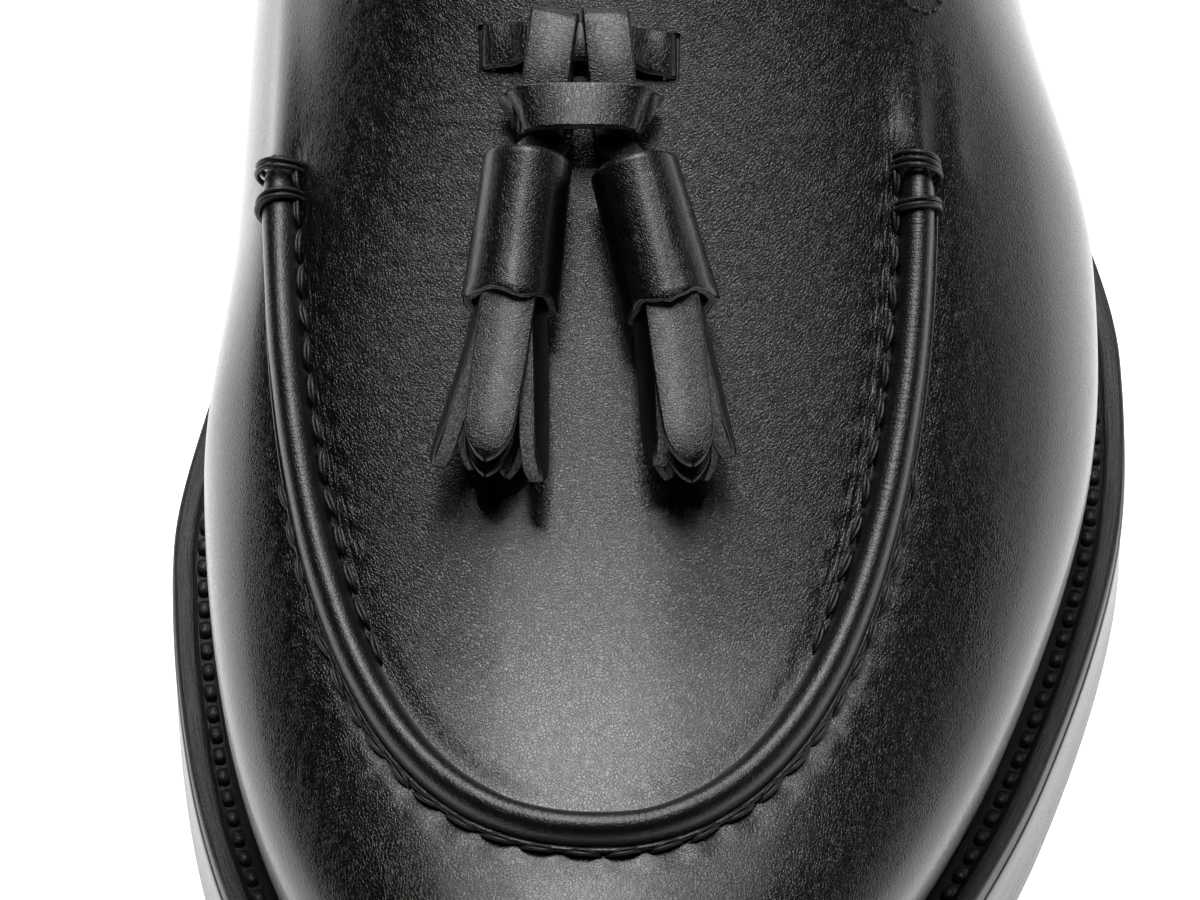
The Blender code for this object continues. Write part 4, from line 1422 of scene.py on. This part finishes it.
def make_sole(edge, bottom):
    lower = 1.2 * MM
    upper = 0.5 * MM
    rings = []
    for angle in quarter_turn(4):
        rings.append((lower * (1 - math.sin(angle)), above(underside, lower * (1 - math.cos(angle)))))
    for share in (0.2, 0.4, 0.6, 0.8):
        hollow = 0.10 * MM * math.sin(math.pi * share)
        rings.append((hollow, lambda y, s=share: underside(y) + lower
                      + (seat(y) - upper - underside(y) - lower) * s))
    for angle in quarter_turn(3):
        rings.append((upper * (1 - math.cos(angle)), above(seat, -upper * (1 - math.sin(angle)))))
    make_slab("sole", rings, [edge, bottom], "sole_edge", ["outsole"])


def make_heel(edge, rubber):
    """Stack that leans in a little to its foot, and the rubber top piece under it."""
    foot = 3.0 * MM
    top = HEEL_TIP_THICKNESS
    stack = [
        (foot, level(top + GAP)),
        (2.4 * MM, lambda y: 0.5 * (underside(y) + top)),
        (1.6 * MM, above(underside, -GAP)),
    ]
    make_slab("heel_stack", stack, [edge], "sole_edge", ["heel_block"], HEEL_BREAST)
    rings = [
        (foot + 1.4 * MM, level(0)),
        (foot + 0.7 * MM, level(0.25 * MM)),
        (foot + 0.4 * MM, level(1.0 * MM)),
        (foot + 0.1 * MM, level(top - 0.5 * MM)),
        (foot + 0.3 * MM, level(top)),
    ]
    make_slab("heel_top_piece", rings, [rubber], "heel_rubber", ["heel_tip"], HEEL_BREAST)


def make_welt(leather, thread):
    """Welt with a smooth outer rim and a shallow groove for the stitches beside the upper."""
    inner = WELT_REACH - GAP
    top = WELT_THICKNESS
    rings = [(WELT_INSET, above(seat, GAP))]
    for angle in quarter_turn(4):
        drop = WELT_RIM * (1 - math.sin(angle))
        rings.append((WELT_INSET + WELT_RIM * (1 - math.cos(angle)), above(seat, top - drop)))
    rings += [(inset * MM, above(seat, top - drop * MM)) for inset, drop in WELT_TOP]
    rings += [(inner, above(seat, top - 0.2 * MM)), (inner, above(seat, GAP))]
    groove = [(WELT_GROOVE, above(seat, top - WELT_STITCH_DEPTH))]
    places = stations(TOE, HEEL, SOLE_STATIONS, ROUND_STATIONS)
    sides = ("medial", "lateral")
    runs = [[outline_points(side, place, rings) for place in places] for side in sides]
    medial, lateral = [[outline_points(side, place, groove)[0] for place in places] for side in sides]
    path = medial[:-1] + lateral[::-1][:-1]
    add_skin("welt_strip", runs, [leather], "welt", ["welt"], 50)
    sew("welt_stitches", path, [Vector((0, 0, 1))] * len(path), WELT_THREAD, thread, closed=True)


# Setting


def make_floor():
    mesh = bpy.data.meshes.new("floor")
    low = -0.1 * MM
    corners = [(x * FLOOR_HALF, y * FLOOR_HALF, low) for x, y in ((-1, -1), (1, -1), (1, 1), (-1, 1))]
    mesh.from_pydata(corners, [], [(0, 1, 2, 3)])
    paint = Paint("pale_floor", (0.9, 0.9, 0.9), 0.9)
    paint.shader.inputs["Emission Color"].default_value = (1, 1, 1, 1)
    paint.shader.inputs["Emission Strength"].default_value = FLOOR_GLOW
    mesh.materials.append(paint.material)
    helper("floor", mesh)


def add_light(row):
    """Soft rectangular light; the strength is its radiance."""
    data = bpy.data.lights.new(row.name, "AREA")
    data.shape = "RECTANGLE"
    data.size, data.size_y = row.size
    data.energy = row.strength * row.size[0] * row.size[1] * math.pi
    item = helper(row.name, data)
    item.location = row.place
    item.rotation_euler = (Vector(row.aim) - Vector(row.place)).to_track_quat("-Z", "Y").to_euler()
    item.visible_camera = False


def make_setting():
    make_floor()
    for row in LIGHTS:
        add_light(row)
    scene = bpy.context.scene
    world = bpy.data.worlds.new("studio")
    world.use_nodes = True
    nodes = Nodes(world.node_tree)
    seen = nodes.add("ShaderNodeLightPath", output="Is Camera Ray")
    background = world.node_tree.nodes["Background"]
    background.inputs["Color"].default_value = (1, 1, 1, 1)
    world.node_tree.links.new(seen.socket, background.inputs["Strength"])
    scene.world = world
    scene.view_settings.view_transform = "Standard"


def make_camera():
    data = bpy.data.cameras.new("camera")
    data.sensor_width = SENSOR
    focal = PIXELS_PER_MM / MM * (CAMERA_DISTANCE + SOLE_BEHIND_TARGET)
    data.lens = focal / PHOTO_WIDTH * SENSOR
    data.clip_end = 100
    camera = helper("camera", data)
    back = Vector((0, -math.cos(CAMERA_ELEVATION), math.sin(CAMERA_ELEVATION)))
    camera.location = CAMERA_TARGET + back * CAMERA_DISTANCE
    camera.rotation_euler = (math.pi / 2 - CAMERA_ELEVATION, 0, 0)
    bpy.context.scene.camera = camera


make_camera()
make_setting()

calf = upper_leather()
piping_calf = piping_leather()
suede_edge = cut_edge()
lace = [lace_leather(), suede_edge]
cap = [cap_leather(), suede_edge]
thread = waxed_thread()
lining = lining_leather()
waxed = edge_finish()
STITCHES = stitch_tree()

upper, throat, back = make_upper(calf, lining)
make_topline(throat, back, piping_calf, thread, upper)
make_piping(piping_calf)
make_seam_stitches(thread)
make_wraps(thread)
make_side_stitches(thread)
make_strap(lace)
for loop_row in LOOPS:
    make_loop(loop_row, lace)
make_tie(lace)
for tassel_row in TASSELS:
    make_cap(tassel_row, cap)
    make_fringe(tassel_row, cap)
    make_neck(tassel_row, lace)
make_welt(welt_leather(), thread)
make_sole(waxed, gritty("sole_bottom", (0.006, 0.006, 0.006), 0.45, 1.2, 4.0, 0.08, 0.2))
make_heel(waxed, gritty("heel_rubber", (0.008, 0.008, 0.009), 0.62, 2.5, 3.0, 0.06, 0.15))
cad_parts["insole"].material_slots[0].material = lining
